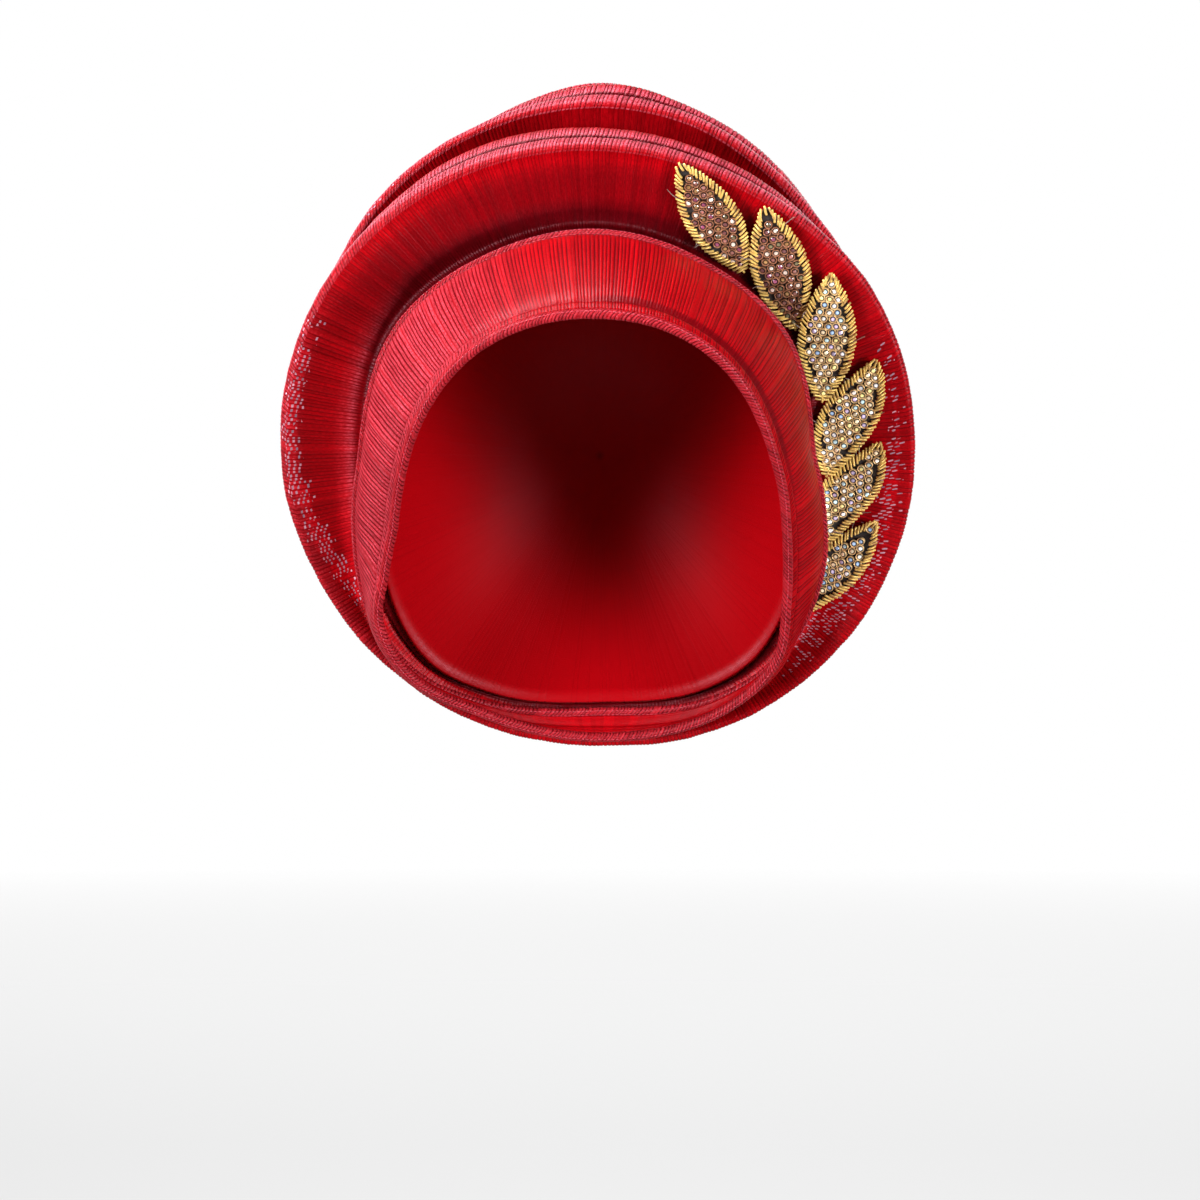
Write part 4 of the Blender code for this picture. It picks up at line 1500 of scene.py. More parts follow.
@dataclass
class Cap:
    """The cap over the skull, ribbed, and gathered towards the back outside."""

    name: str = "crown_cap"
    cut: float = 0.29
    ribs: Ribs = Ribs(380, 31)
    rows: int = 16
    reach: float = 0.975
    rib_height: float = 0.24 * MM
    inner_ribs: float = 0.25
    inner_valleys: float = 0.3
    gathers: int = 34
    gather_depth: float = 1.1 * MM
    gather_shade: float = 0.12
    gather_stray: float = 2.2
    surface: Pair = (0.5, 0.34)
    finish: RibbedCloth = field(default_factory=RibbedCloth)

    RELIEF_RISE = 3.5
    LEAST_RELIEF = 0.12
    GATHER_FALL = 9
    GATHER_RISE = Ramp(0.62, 0.14)
    STRAY_SEED = 8
    STRAY_WAVES = (3, 5, 9)
    POLE_VALLEYS = (0.5, 0.5)
    POLE_PLAIN = (0.0, 1.0)

    def build(self) -> Object:
        """Builds the cap."""
        angles, lift, _ = self.ribs.columns()
        lift = lift[:, None]
        shares = self.reach * np.linspace(0, 1, self.rows)
        section = np.stack([HEAD.point(angles, share) for share in shares], 1)
        normals = section_normals(section)
        relief = np.clip((1 - shares / self.reach) * self.RELIEF_RISE, self.LEAST_RELIEF, 1)
        gather = self.GATHER_RISE.of(shares) * np.clip((1 - shares) * self.GATHER_FALL, 0, 1)
        stray = self.gather_stray * drift(angles, self.STRAY_SEED, self.STRAY_WAVES)
        wave = np.cos(np.radians(angles) * self.gathers + stray)[:, None]
        height = (lift - RIB_LEVEL) * self.rib_height * relief
        folds = (wave - 1) * 0.5 * self.gather_depth * gather
        outer = section + normals * (CLOTH / 2 + height + folds)[..., None]
        inner = section - normals * (CLOTH / 2 + height * self.inner_ribs)[..., None]
        turn = np.broadcast_to(angles[:, None], section.shape[:2])
        poles = [Vector((0, HEAD.back + side * CLOTH / 2, AXIS_HEIGHT)) for side in (1, -1)]
        mesh = cloth_dome(self.name, place(turn, outer), place(turn, inner), *poles)
        # Painted shade in the rib valleys, weaker on the inside, and in the troughs of the gathers at the
        # back.
        valley = (1 - lift) * relief
        inside = (valley * self.inner_valleys)[:, ::-1]
        valley = np.concatenate((inside, valley + self.gather_shade * (1 - wave) * gather), 1)
        plain = np.concatenate((np.ones(inside.shape), np.zeros(inside.shape)), 1)
        set_value(mesh, "valley", np.concatenate((valley.ravel(), self.POLE_VALLEYS)))
        set_value(mesh, "glint", np.zeros(valley.size + 2))
        set_value(mesh, "plain", np.concatenate((plain.ravel(), self.POLE_PLAIN)))
        piece = add_cloth(self.name, mesh, self.finish, self.ribs, self.surface)
        return piece


# Small shapes.


def start_shape(kind: str, **settings: object) -> Object:
    """New primitive of a kind, selected alone."""
    bpy.ops.object.select_all(action="DESELECT")
    getattr(bpy.ops.mesh, f"primitive_{kind}_add")(**settings)
    return bpy.context.active_object


@contextmanager
def editing() -> Iterator[None]:
    """Edit mode for the active object."""
    bpy.ops.object.mode_set(mode="EDIT")
    yield
    bpy.ops.object.mode_set(mode="OBJECT")


def select_parts(obj: Object, kind: str, wanted: Callable[[object], bool]) -> None:
    """Selects an object's edges or faces by a test, in edit mode."""
    bpy.context.tool_settings.mesh_select_mode = (False, kind == "edges", kind == "faces")
    bpy.ops.mesh.select_all(action="DESELECT")
    edit = bmesh.from_edit_mesh(obj.data)
    for part in getattr(edit, kind):
        part.select_set(bool(wanted(part)))
    bmesh.update_edit_mesh(obj.data)


def select_top(obj: Object) -> None:
    """Selects the faces that look up, in edit mode."""
    select_parts(obj, "faces", lambda face: face.normal.z > 0.9)


def turn_selected(degrees: float, axis: str) -> None:
    """Turns what is selected round the origin."""
    bpy.ops.transform.rotate(value=math.radians(degrees), orient_axis=axis, center_override=(0, 0, 0))


def raise_selected(rise: float, size: float | None = None) -> None:
    """Extrudes what is selected by a rise, and scales it where a size is given."""
    bpy.ops.mesh.extrude_region_move(TRANSFORM_OT_translate={"value": (0, 0, rise)})
    if size is not None:
        bpy.ops.transform.resize(value=(size, size, 1))


def take_mesh(obj: Object) -> Mesh:
    """Mesh of an object with its place applied. The object is removed."""
    mesh = obj.data
    mesh.transform(obj.matrix_world)
    bpy.data.objects.remove(obj)
    return mesh


# Beaded leaves.


class Side(Enum):
    """Side of a leaf's middle line, seen with its tip up."""

    RIGHT = 1
    LEFT = -1


@dataclass(frozen=True)
class LeafPlan:
    """Plan of a leaf: angle and radius of its tip and base on the front fan, its width and sideways bow."""

    name: str
    tip_angle: float
    tip_radius: float
    base_angle: float
    base_radius: float
    width: float
    bow: float
    fullness: float = 0.8
    bow_scale: float = 11.3
    bow_turn: float = 0.72
    tip_inset: float = 2.0

    def half_width(self, share: Array, inset: float = 0.0) -> Array:
        """Half width at shares of the length, less an inset."""
        wave = np.sin(math.pi * np.clip(share, 0, 1))
        return np.maximum(0, self.width * MM / 2 * np.maximum(wave, 0) ** self.fullness - inset)

    def middle(self, share: Array) -> Array:
        """Sideways bow of the middle line at shares of the length."""
        return self.bow * MM * self.bow_scale * share * (1 - share) * (self.bow_turn - share)

    def outline(self, length: float, inset: float, steps: int) -> Array:
        """Points across and along the leaf, from base to tip and back, drawn in by an inset."""
        start = inset * self.tip_inset / length
        shares = start + (1 - 2 * start) * (1 - np.cos(math.pi * np.arange(steps + 1) / steps)) / 2
        half = self.half_width(shares, inset)
        right = np.stack((self.middle(shares) + half, shares * length), -1)
        left = np.stack((self.middle(shares) - half, shares * length), -1)
        return np.concatenate((right, left[-2:0:-1]))


LEAVES = (
    LeafPlan("leaf_1", 15.8, 107.5, 40.0, 84.5, 20.0, 0.0),
    LeafPlan("leaf_2", 34.7, 107.0, 59.4, 85.7, 20.8, 0.0),
    LeafPlan("leaf_3", 53.4, 107.5, 78.5, 85.8, 20.8, 0.0),
    LeafPlan("leaf_4", 72.4, 109.2, 97.0, 87.8, 20.6, -2.3),
    LeafPlan("leaf_5", 88.6, 106.5, 112.8, 94.8, 19.0, -3.4),
    LeafPlan("leaf_6", 104.4, 109.8, 128.3, 101.4, 17.6, -1.5),
)


@dataclass(frozen=True)
class StonePalette:
    """Colours that the stones of a leaf flash, and the metal of their cups."""

    flashes: tuple[tuple[float, float, float], ...]
    cup: Colour


# Stones and cups of the top leaves, darkened and reddened as a painted reflection of the red cloth.
PAINTED_RED_REFLECTION = StonePalette(((0.25, 0.11, 0.09), (0.12, 0.05, 0.05), (0.70, 0.56, 0.47), (0.22, 0.06, 0.11),
                     (0.13, 0.11, 0.06), (0.27, 0.15, 0.06)), (0.32, 0.13, 0.065, 1))
CLEAR = StonePalette(((1.0, 0.95, 0.84), (0.96, 0.84, 0.34), (0.62, 0.88, 0.92), (1.0, 1.0, 1.0),
                      (0.60, 0.50, 0.72), (0.80, 0.66, 0.44), (0.34, 0.50, 0.74)), (0.80, 0.54, 0.26, 1))


@dataclass
class Leaf:
    """One beaded leaf: felt, a field of cut stones in cups, a border of gold bullion and loose threads."""

    plan: LeafPlan
    seat: Matrix
    length: float
    palette: StonePalette
    seed: int
    outline_steps: int = 24
    felt_inset: float = 0.5 * MM
    felt_height: float = 1.0 * MM
    felt_edge: float = 0.2 * MM
    stone_radius: float = 1.6 * MM
    stone_pitch: float = 3.2 * MM
    row_pitch: float = 2.8 * MM
    side_inset: float = 3.1 * MM
    side_slack: float = 0.35 * MM
    end_inset: float = 4.3 * MM
    stone_tilt: float = 0.16
    flash_tones: Pair = (0.75, 1.1)
    first_piece: float = 3.2 * MM
    piece_pitch: float = 1.62 * MM
    piece_length: float = 3.8 * MM
    piece_thickness: float = 0.96 * MM
    piece_arch: float = 0.35 * MM
    piece_taper: float = 0.12
    side_lean: float = 56
    tip_lean: float = 22
    lean_run: float = 4 * MM
    base_cover: float = 2.4 * MM
    tip_cover: float = 1.4 * MM
    thread_radius: float = 0.16 * MM
    cup_sides: int = 12
    cup_share: float = 0.94
    cup_depth: float = 1.1 * MM
    cup_middle: float = 0.4 * MM
    cup_lip: Pair = (0.12 * MM, 1.04)
    cup_rim: Rows = ((0.14, 0.16), (0.14, -0.12), (0.10, -0.42))
    cut_sides: int = 8
    cut_radius: float = 1.06 * MM
    cut_depth: float = 0.5 * MM
    cut_middle: float = 0.62 * MM
    cut_crown: Pair = (0.24 * MM, 0.82)
    cut_table: Pair = (0.16 * MM, 0.60)
    piece_sides: int = 7
    piece_cuts: int = 6
    piece_seed: int = 50
    piece_strays: Pair = (-0.12, 0.12)
    lean_strays: Pair = (-6, 6)
    piece_sizes: Pair = (0.88, 1.08)
    overhangs: Pair = (0.3, 0.8)
    piece_lifts: Pair = (-0.05, 0.12)
    piece_pitches: Pair = (-0.10, 0.02)
    thread_sides: tuple[int, ...] = (-1, -1, -1, 1)
    thread_shares: Pair = (0.35, 0.85)
    thread_start: float = 0.85
    thread_lift: float = 0.8 * MM
    thread_rises: Pair = (-0.2, 0.9)
    thread_out: float = 0.15
    thread_bends: Rows = ((-0.6, 0.6), (-0.8, 0.8), (0.0, 0.5))
    thread_points: int = 8
    thread_reach: Pair = (2.6, 4.0)
    thread_colour: Colour = (0.20, 0.14, 0.12, 1)
    thread_seed: int = 70

    @property
    def name(self) -> str:
        """Name of the leaf."""
        return self.plan.name

    def felt(self) -> Object:
        """Dark felt in the leaf's outline."""
        outline = self.plan.outline(self.length, self.felt_inset, self.outline_steps)
        felt = start_shape("circle", vertices=len(outline), radius=0.01, fill_type="NGON")
        for vertex, (x, y) in zip(felt.data.vertices, outline):
            vertex.co = (x, y, 0)
        with editing():
            bpy.ops.mesh.select_all(action="SELECT")
            raise_selected(self.felt_height)
            bpy.ops.mesh.select_all(action="SELECT")
            bpy.ops.mesh.normals_make_consistent(inside=False)
        bevel = felt.modifiers.new("edge", "BEVEL")
        bevel.width = self.felt_edge
        bevel.segments = 2
        bpy.ops.object.modifier_apply(modifier="edge")
        mesh = take_mesh(felt)
        mesh.transform(self.seat)
        name = self.name + "_felt"
        return add_piece(name, mesh, Felt().material(name), [self.name + "_stones"])

    def spots(self) -> list[Pair]:
        """Middles of the stones, in staggered rows inside the border."""
        rows = int((self.length - 2 * self.end_inset) / self.row_pitch) + 1
        pitch = (self.length - 2 * self.end_inset) / (rows - 1)
        columns = int(self.plan.width * MM / self.stone_pitch)
        spots = []
        for row in range(rows):
            y = self.end_inset + row * pitch
            share = np.array((y - self.stone_radius / 2, y + self.stone_radius / 2)) / self.length
            reach = float(self.plan.half_width(share, self.side_inset).min())
            for column in range(-columns, columns + 1):
                x = (column + row % 2 / 2) * self.stone_pitch
                if abs(x) <= reach + self.side_slack:
                    spots.append((float(self.plan.middle(y / self.length)) + x, y))
        return spots

    def cup(self) -> Mesh:
        """One cup: a round tray with a thin rolled rim."""
        cup = start_shape("cylinder", vertices=self.cup_sides, radius=self.stone_radius * self.cup_share,
                          depth=self.cup_depth, location=(0, 0, self.felt_height + self.cup_middle))
        with editing():
            select_top(cup)
            raise_selected(*self.cup_lip)
            for inset, rise in self.cup_rim:
                bpy.ops.mesh.inset(thickness=inset * MM)
                bpy.ops.transform.translate(value=(0, 0, rise * MM))
        bpy.ops.object.shade_smooth_by_angle(angle=math.radians(50))
        return take_mesh(cup)

    def crystal(self) -> Mesh:
        """One cut stone: a girdle, two tiers of facets and a table."""
        stone = start_shape("cylinder", vertices=self.cut_sides, radius=self.cut_radius, depth=self.cut_depth,
                            location=(0, 0, self.felt_height + self.cut_middle))
        with editing():
            select_top(stone)
            raise_selected(*self.cut_crown)
            turn_selected(180 / self.cut_sides, "Z")
            raise_selected(*self.cut_table)
        return take_mesh(stone)

    def stones(self) -> None:
        """The cups and the stones in them."""
        chance = np.random.default_rng(self.seed)
        seats = []
        for x, y in self.spots():
            tilt = chance.uniform(-self.stone_tilt, self.stone_tilt, 2)
            turn = (Matrix.Rotation(chance.uniform(0, 2 * math.pi), 4, "Z") @ Matrix.Rotation(tilt[0], 4, "X")
                    @ Matrix.Rotation(tilt[1], 4, "Y"))
            seats.append(self.seat @ Matrix.Translation((x, y, 0)) @ turn)
        flashes = np.array(self.palette.flashes)[chance.integers(0, len(self.palette.flashes), len(seats))]
        flashes = np.clip(flashes * chance.uniform(*self.flash_tones, (len(seats), 1)), 0, 1)
        cups, crystals = self.name + "_cups", self.name + "_crystals"
        add_piece(cups, stamp(cups, self.cup(), seats), CupMetal(self.palette.cup).material(cups))
        add_piece(crystals, stamp(crystals, self.crystal(), seats, flashes), CutCrystal().material(crystals))

    def spring(self) -> Mesh:
        """One piece of bullion, lying along Y from its inner to its outer end."""
        spring = start_shape("cylinder", vertices=self.piece_sides, radius=self.piece_thickness / 2,
                             depth=self.piece_length)
        with editing():
            select_parts(spring, "edges", lambda edge: abs(edge.verts[0].co.z - edge.verts[1].co.z) > 1 * MM)
            bpy.ops.mesh.subdivide(number_cuts=self.piece_cuts)
            bpy.ops.mesh.select_all(action="SELECT")
            turn_selected(90, "X")
        for vertex in spring.data.vertices:
            way = vertex.co.y / (self.piece_length / 2)
            thin = 1 - self.piece_taper * way**8
            vertex.co.x *= thin
            vertex.co.z = vertex.co.z * thin + self.piece_arch * (1 - way * way)
        bpy.ops.object.shade_smooth_by_angle(angle=math.radians(60))
        return take_mesh(spring)

    def bullion(self) -> Object:
        """The border: springs laid side by side, their outer ends towards the tip."""
        chance = np.random.default_rng(self.seed + self.piece_seed)
        places = []
        for side in Side:
            shares = np.linspace(0, 1, 400)
            edge = np.stack((self.plan.middle(shares) + side.value * self.plan.half_width(shares),
                             shares * self.length), -1)
            run = distances(edge)

            def on_edge(at: float) -> Array:
                """Point at a distance along the edge."""
                return np.array((np.interp(at, run, edge[:, 0]), np.interp(at, run, edge[:, 1])))

            for at in np.arange(self.first_piece, run[-1], self.piece_pitch):
                at += chance.uniform(*self.piece_strays) * MM
                along = unit(on_edge(at + MM) - on_edge(at - MM))
                out = np.array((along[1], -along[0])) * side.value
                near_tip = math.exp((at - run[-1]) / self.lean_run)
                lean = self.side_lean + (self.tip_lean - self.side_lean) * near_tip
                lean += chance.uniform(*self.lean_strays)
                way = along * math.cos(math.radians(lean)) + out * math.sin(math.radians(lean))
                size = chance.uniform(*self.piece_sizes)
                over = chance.uniform(*self.overhangs) * MM
                middle = on_edge(at) + out * over - way * self.piece_length * size / 2
                places.append(self.laid(middle, way, size, chance))
        for y in (self.length - self.tip_cover, self.base_cover):
            spot = np.array((float(self.plan.middle(y / self.length)), y))
            places.append(self.laid(spot, np.array((0.0, 1.0)), 1.0, chance))
        name = self.name + "_bullion"
        mesh = stamp(name, self.spring(), places)
        return add_piece(name, mesh, BullionGold().material(name), [self.name + "_border"])

    def laid(self, middle: Array, way: Array, size: float, chance: np.random.Generator) -> Matrix:
        """Place in the world of a spring, by its middle, its direction and its length as a share."""
        turn = math.atan2(-way[0], way[1])
        height = self.felt_height + GAP + self.piece_thickness / 2 + chance.uniform(*self.piece_lifts) * MM
        return (self.seat @ Matrix.Translation((*middle, height)) @ Matrix.Rotation(turn, 4, "Z")
                @ Matrix.Rotation(chance.uniform(*self.piece_pitches), 4, "X")
                @ Matrix.Diagonal((1, size, 1, 1)))

    def threads(self) -> Object:
        """A few loose ends of grey thread that stick out past the border."""
        chance = np.random.default_rng(self.seed + self.thread_seed)
        frame = np.array(self.seat)
        grids = []
        faces = []
        count = 0
        for side in self.thread_sides:
            share = chance.uniform(*self.thread_shares)
            reach = float(self.plan.half_width(share)) * self.thread_start
            x = float(self.plan.middle(share)) + side * reach
            start = np.array((x, share * self.length, self.felt_height + self.thread_lift))
            way = np.array((side * 1.0, chance.uniform(*self.thread_rises), self.thread_out))
            bend = np.array([chance.uniform(*ends) for ends in self.thread_bends])
            t = np.linspace(0, 1, self.thread_points)[:, None]
            path = start + (way * t + bend * t * t) * chance.uniform(*self.thread_reach) * MM
            grid, strand = tube(path @ frame[:3, :3].T + frame[:3, 3], self.thread_radius, 5)
            grids.append(grid)
            faces.append(strand + count)
            count += len(grid)
        name = self.name + "_threads"
        mesh = mesh_of(name, np.concatenate(grids), [np.concatenate(faces)])
        return add_piece(name, mesh, Thread(self.thread_colour).material(name))

    def build(self) -> None:
        """Builds the leaf."""
        self.felt()
        self.stones()
        self.bullion()
        self.threads()


@dataclass
class LeafSpray:
    """The six leaves on the right side of the front fan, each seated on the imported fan."""

    shape: FanShape = FRONT_FAN
    clearance: float = 0.4 * MM
    seat_width: float = 0.4
    outline_steps: int = 8
    samples: int = 4
    insets: tuple[float, ...] = (0.0, 3 * MM, 6 * MM)
    ray_start: float = 100 * MM
    # How many leaves, from the top, get stones with the painted red reflection.
    red_reflection_leaves: int = 2
    first_seed: int = 100

    def face_points(self, angle: float) -> Array:
        """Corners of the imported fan's face at an angle, from its foot to its front ridge."""
        c = self.shape.corners(np.array([angle]))
        return np.concatenate((c.front_foot, *c.dish, c.start, c.face - c.out * CLOTH / 2))

    def on_dish(self, angle: float, radius: float) -> Vector:
        """World position on the face at an angle and radius, never below the dish's lowest corner."""
        face = self.face_points(angle)
        depth = np.interp(radius, face[:, 0], face[:, 1])
        return Vector(place(np.array(angle), np.array((radius, depth))))

    def seat(self, plan: LeafPlan, fan: BVHTree) -> tuple[Matrix, float]:
        """Place of a leaf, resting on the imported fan.

        Args:
            plan: The leaf's plan.
            fan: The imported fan.

        Returns:
            Place with its origin at the base, X across, Y to the tip and Z out of the dish, and the length.
        """
        tip = self.on_dish(plan.tip_angle, plan.tip_radius * MM)
        base = self.on_dish(plan.base_angle, plan.base_radius * MM)
        along = (tip - base).normalized()
        middle = (tip + base) / 2
        across = along.cross(Vector((0, -1, 0))).normalized()
        sides = []
        for side in (-1, 1):
            point = middle + across * side * plan.width * MM * self.seat_width
            angle = math.degrees(math.atan2(point.x, point.z - AXIS_HEIGHT))
            radius = math.hypot(point.x, point.z - AXIS_HEIGHT)
            sides.append(self.on_dish(angle, max(radius, float(self.face_points(angle)[1, 0]))))
        out = (sides[1] - sides[0]).cross(along).normalized()
        across = along.cross(out)
        frame = Matrix((across, along, out)).transposed().to_4x4()
        frame.translation = base
        length = (tip - base).length
        lift = 0.0
        for inset in self.insets:
            outline = plan.outline(length, inset, self.outline_steps)
            for here, following in zip(outline, np.roll(outline, -1, 0)):
                for part in range(self.samples):
                    spot = here + (following - here) * part / self.samples
                    point = frame @ Vector((*spot, 0))
                    hit = fan.ray_cast(point - Vector((0, self.ray_start, 0)), Vector((0, 1, 0)))[0]
                    if hit is not None:
                        lift = max(lift, point.y - hit.y)
        frame.translation = base - Vector((0, lift + self.clearance / -out.y, 0))
        return frame, length

    def leaves(self, fan: Object) -> list[Leaf]:
        """One leaf for each plan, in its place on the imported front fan."""
        tree = BVHTree.FromObject(fan, bpy.context.evaluated_depsgraph_get())
        leaves = []
        for number, plan in enumerate(LEAVES):
            seat, length = self.seat(plan, tree)
            palette = PAINTED_RED_REFLECTION if number < self.red_reflection_leaves else CLEAR
            leaves.append(Leaf(plan, seat, length, palette, self.first_seed + number))
        return leaves


class Belt(NamedTuple):
    """Belt of lurex on one side of the front fan's face.

    Angles are counted away from the top on that side. How far the belt starts and ends from the rim is in
    millimetres, and both grow along a ramp.
    """

    side: Side
    reach: Span
    share: float
    start: float
    start_ramp: Ramp
    end: float
    end_ramp: Ramp

    def of(self, angles: Array, down: Array) -> Array:
        """Share of flecks at angles and distances from the rim."""
        turn = angles * self.side.value
        across = Span(self.start + self.start_ramp.of(turn), self.end + self.end_ramp.of(turn), 1.6)
        return across.of(down) * self.reach.of(turn) * self.share


@dataclass
class FrontFan(Fan):
    """The front fan, whose face the leaves press in and whose lurex shows at both sides."""

    leaves: list[Leaf] = field(default_factory=list)
    belts: tuple[Belt, ...] = (
        Belt(Side.LEFT, Span(62, 148, 12), 0.75, 0.5, Ramp(96, 28, 6), 9, Ramp(95, 40, 9)),
        Belt(Side.RIGHT, Span(62, 146, 20), 0.7, 2.5, Ramp(105, 25, 2), 9, Ramp(80, 50, 9, -0.4)))
    press_ends: float = 0.03
    press_reach: float = 6 * MM
    press_margin: float = 1.2 * MM
    press_depth: float = 0.12 * MM
    fold_height: float = 0.9 * MM
    fold_place: float = 1.75
    fold_width: float = 0.32

    # Painted highlights on the fold beside the gutter and on the face near the left rim.
    PAINTED_FOLD_TONE = Mark(0.75, Span(1.55, 2.05, 0.2), Span(-120, 8, 25))
    PAINTED_EDGE_HIGHLIGHT = Mark(0.14, Span(3.2, 9.0, 0.8), Span(-165, -55, 25))
    FEWER_DOTS = 0.4
    RAISED_ANGLES = Span(-165, -30, 25)

    def pressed(self, outer: Array) -> Array:
        """Outer side after the leaves have pressed it in where they lie."""
        flat = outer.reshape(-1, 3)
        for leaf in self.leaves:
            frame = np.array(leaf.seat)
            inverse = np.array(leaf.seat.inverted())
            local = flat @ inverse[:3, :3].T + inverse[:3, 3]
            share = local[:, 1] / leaf.length
            near = (np.abs(share - 0.5) < 0.5 + self.press_ends) & (np.abs(local[:, 2]) < self.press_reach)
            reach = leaf.plan.half_width(share) + self.press_margin
            inside = np.abs(local[:, 0] - leaf.plan.middle(share)) < reach
            under = near & inside & (local[:, 2] > -self.press_depth)
            local[under, 2] = -self.press_depth
            flat[under] = local[under] @ frame[:3, :3].T + frame[:3, 3]
        return flat.reshape(outer.shape)

    def glint(self, angles: Array, outer: Array, places: Array) -> Array:
        """Share of lurex flecks that show at each point: a wide belt at both sides."""
        radius = outer[..., 0] / MM
        down = self.shape.face.point(angles)[..., 0] / MM - radius
        off_band = radius - BAND_EDGE.point(angles)[..., 0] / MM
        share = sum(belt.of(angles, down) for belt in self.belts) * Ramp(1, 2).of(off_band)
        return share * (places < self.shape.rim_start + 2)

    def dotted(self, angles: Array, places: Array) -> Array:
        """Painted highlight of the dotted line, of the fold beside the gutter and of the face near the left
        rim.
        """
        dots = self.FEWER_DOTS * super().dotted(angles, places)
        return dots + self.PAINTED_FOLD_TONE.of(angles, places) + self.PAINTED_EDGE_HIGHLIGHT.of(angles, places)

    def folds(self, angles: Array, places: Array) -> Array:
        """Height of soft folds in the face: one runs beside the gutter on the left."""
        ridge = np.exp(-((places - self.fold_place) / self.fold_width) ** 2)
        return self.fold_height * ridge * self.RAISED_ANGLES.of(angles)


# Lights, camera and surroundings.


@dataclass(frozen=True)
class SoftLight:
    """Square soft light: its place, its side, its power in watts, its spread in degrees and what it faces."""

    name: str
    spot: tuple[float, float, float]
    size: float
    power: float
    spread: float
    target: tuple[float, float, float] = (0, 0, -0.08)


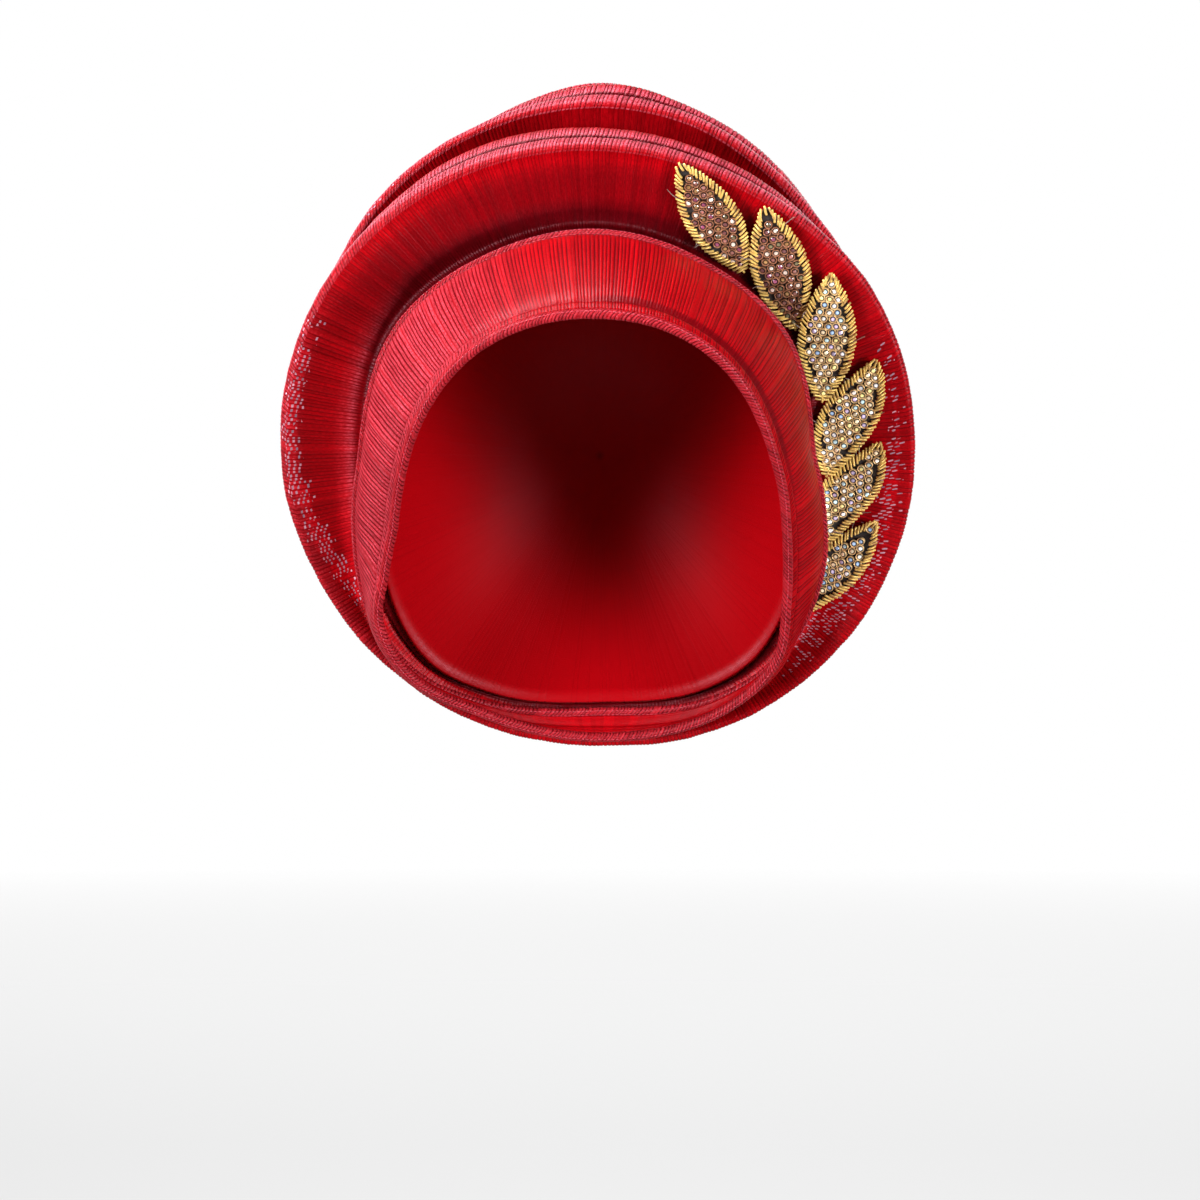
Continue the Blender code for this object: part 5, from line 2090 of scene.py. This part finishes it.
@dataclass(frozen=True)
class Studio:
    """Camera, soft lights, pale floor and white surroundings."""

    camera_spot: tuple[float, float, float] = (0, -1.577, -0.140)
    lens: float = 125.0
    lights: tuple[SoftLight, ...] = (
        SoftLight("key", (-0.48, -0.36, 1.20), 0.5, 8.1, 80),
        SoftLight("left", (-1.25, -1.05, -0.10), 0.6, 7.4, 70),
        SoftLight("right", (1.20, -1.00, -0.30), 0.6, 6.8, 70),
        SoftLight("floor_wash", (0.0, 2.0, 0.6), 1.8, 20.0, 180, (0.0, 2.0, -0.5)),
    )
    floor_height: float = -0.5
    floor_radius: float = 4.5
    floor_fade: float = 1.3
    front_tone: float = 0.055
    back_tone: float = 0.75
    sensor: float = 36.0
    floor_colour: Colour = (0.20, 0.20, 0.20, 1)
    floor_glow: float = 0.62
    world_fade: Pair = (0.25, 0.9)
    white: Colour = (1, 1, 1, 1)

    def build(self) -> None:
        """Adds everything."""
        scene = bpy.context.scene
        data = bpy.data.cameras.new("camera")
        data.lens = self.lens
        data.sensor_width = self.sensor
        camera = bpy.data.objects.new("camera", data)
        camera.location = self.camera_spot
        camera.rotation_euler = (math.radians(90), 0, 0)
        scene.collection.objects.link(camera)
        scene.camera = camera
        for light in self.lights:
            self.shine(light)
        self.floor()
        self.room()
        scene.view_settings.view_transform = "Standard"

    def shine(self, light: SoftLight) -> None:
        """Adds a light."""
        data = bpy.data.lights.new(light.name, "AREA")
        data.size = light.size
        data.energy = light.power
        data.spread = math.radians(light.spread)
        obj = bpy.data.objects.new(light.name, data)
        obj.location = light.spot
        obj.rotation_euler = (Vector(light.target) - Vector(light.spot)).to_track_quat("-Z", "Y").to_euler()
        bpy.context.scene.collection.objects.link(obj)

    def floor(self) -> None:
        """Adds the pale floor, which fades out far from the head tie."""
        floor = start_shape("circle", vertices=96, radius=self.floor_radius, fill_type="NGON",
                            location=(0, 0, self.floor_height))
        floor.name = "floor"
        bpy.ops.object.transform_apply(location=True, rotation=False, scale=False)
        g = Graph("pale_floor")
        length = g.node("ShaderNodeVectorMath", operation="LENGTH")
        g.feed(length.inputs[0], g.object_place())
        seen = g.node("ShaderNodeLightPath").outputs["Is Camera Ray"]
        fade = Scale(self.floor_fade, self.floor_radius * 0.9, 1.0, 0.0)
        g.fixed(Base_Color=self.floor_colour, Roughness=0.9, Specular_IOR_Level=0.1,
                Emission_Color=self.white, Emission_Strength=g.times(seen, self.floor_glow),
                Alpha=g.remap(length.outputs["Value"], fade))
        floor.data.materials.append(g.material)
        floor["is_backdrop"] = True

    def room(self) -> None:
        """Adds white surroundings behind the head tie that grow dim towards the camera's side."""
        world = bpy.data.worlds.new("room")
        bpy.context.scene.world = world
        world.use_nodes = True
        n = Nodes(world.node_tree)
        tone = n.node("ShaderNodeMapRange", interpolation_type="SMOOTHSTEP")
        depth = n.part(n.node("ShaderNodeTexCoord").outputs["Generated"], 1)
        for socket, value in zip(tone.inputs, (depth, *self.world_fade, self.front_tone, self.back_tone)):
            n.feed(socket, value)
        seen = n.node("ShaderNodeLightPath").outputs["Is Camera Ray"]
        background = world.node_tree.nodes["Background"]
        n.feed(background.inputs["Color"], self.white)
        n.feed(background.inputs["Strength"], n.math("MAXIMUM", tone.outputs["Result"], seen))


def write_sizes(visual: object) -> None:
    def plain(box: object) -> list[list[float]]:
        """Box as lists of numbers."""
        return [[float(value) for value in corner] for corner in box]


def main() -> None:
    """Builds the pieces in order."""
    logging.basicConfig(level=logging.INFO, format="%(message)s")
    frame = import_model()
    Studio().build()
    leaves = LeafSpray().leaves(frame["nodes"]["front_fan"])
    FrontFan("front_fan", FRONT_FAN, Ribs(512, 11, 0.18, faint=0.15), 3, depth_shade=0.9, gutter=0.8,
             lip_back=2.5 * MM, leaves=leaves).build()
    Fan("middle_fan", MIDDLE_FAN, Ribs(500, 12, 0.18, faint=0.15), 4, depth_shade=0.6).build()
    Fan("rear_fan", REAR_FAN, Ribs(480, 13, 0.18, faint=0.15), 5, depth_shade=0.0, belly=2.0 * MM,
        shine_from=-62, shine_to=2.3).build()
    Cap().build()
    band = Band()
    cloth = band.build()
    face = Piping("face_piping", FACE_EDGE, FACE_PIPING_RADIUS,
                  Ribs(360, 41, 0.14, faint=0.1, radii=FACE_EDGE.radii))
    rear = Piping("band_piping", BAND_EDGE, BAND_PIPING_RADIUS,
                  Ribs(390, 42, 0.14, faint=0.1, radii=BAND_EDGE.radii))
    rows = (StitchRow("face_stitches_front", face, -62, 5), StitchRow("face_stitches_back", face, 48, 6),
            StitchRow("band_stitches_front", rear, -100, 7), StitchRow("band_stitches_back", rear, -40, 8))
    trims = [piece.build() for piece in (face, rear, *rows)]
    for leaf in leaves:
        leaf.build()
    write_sizes(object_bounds())


if __name__ == "__main__":
    main()
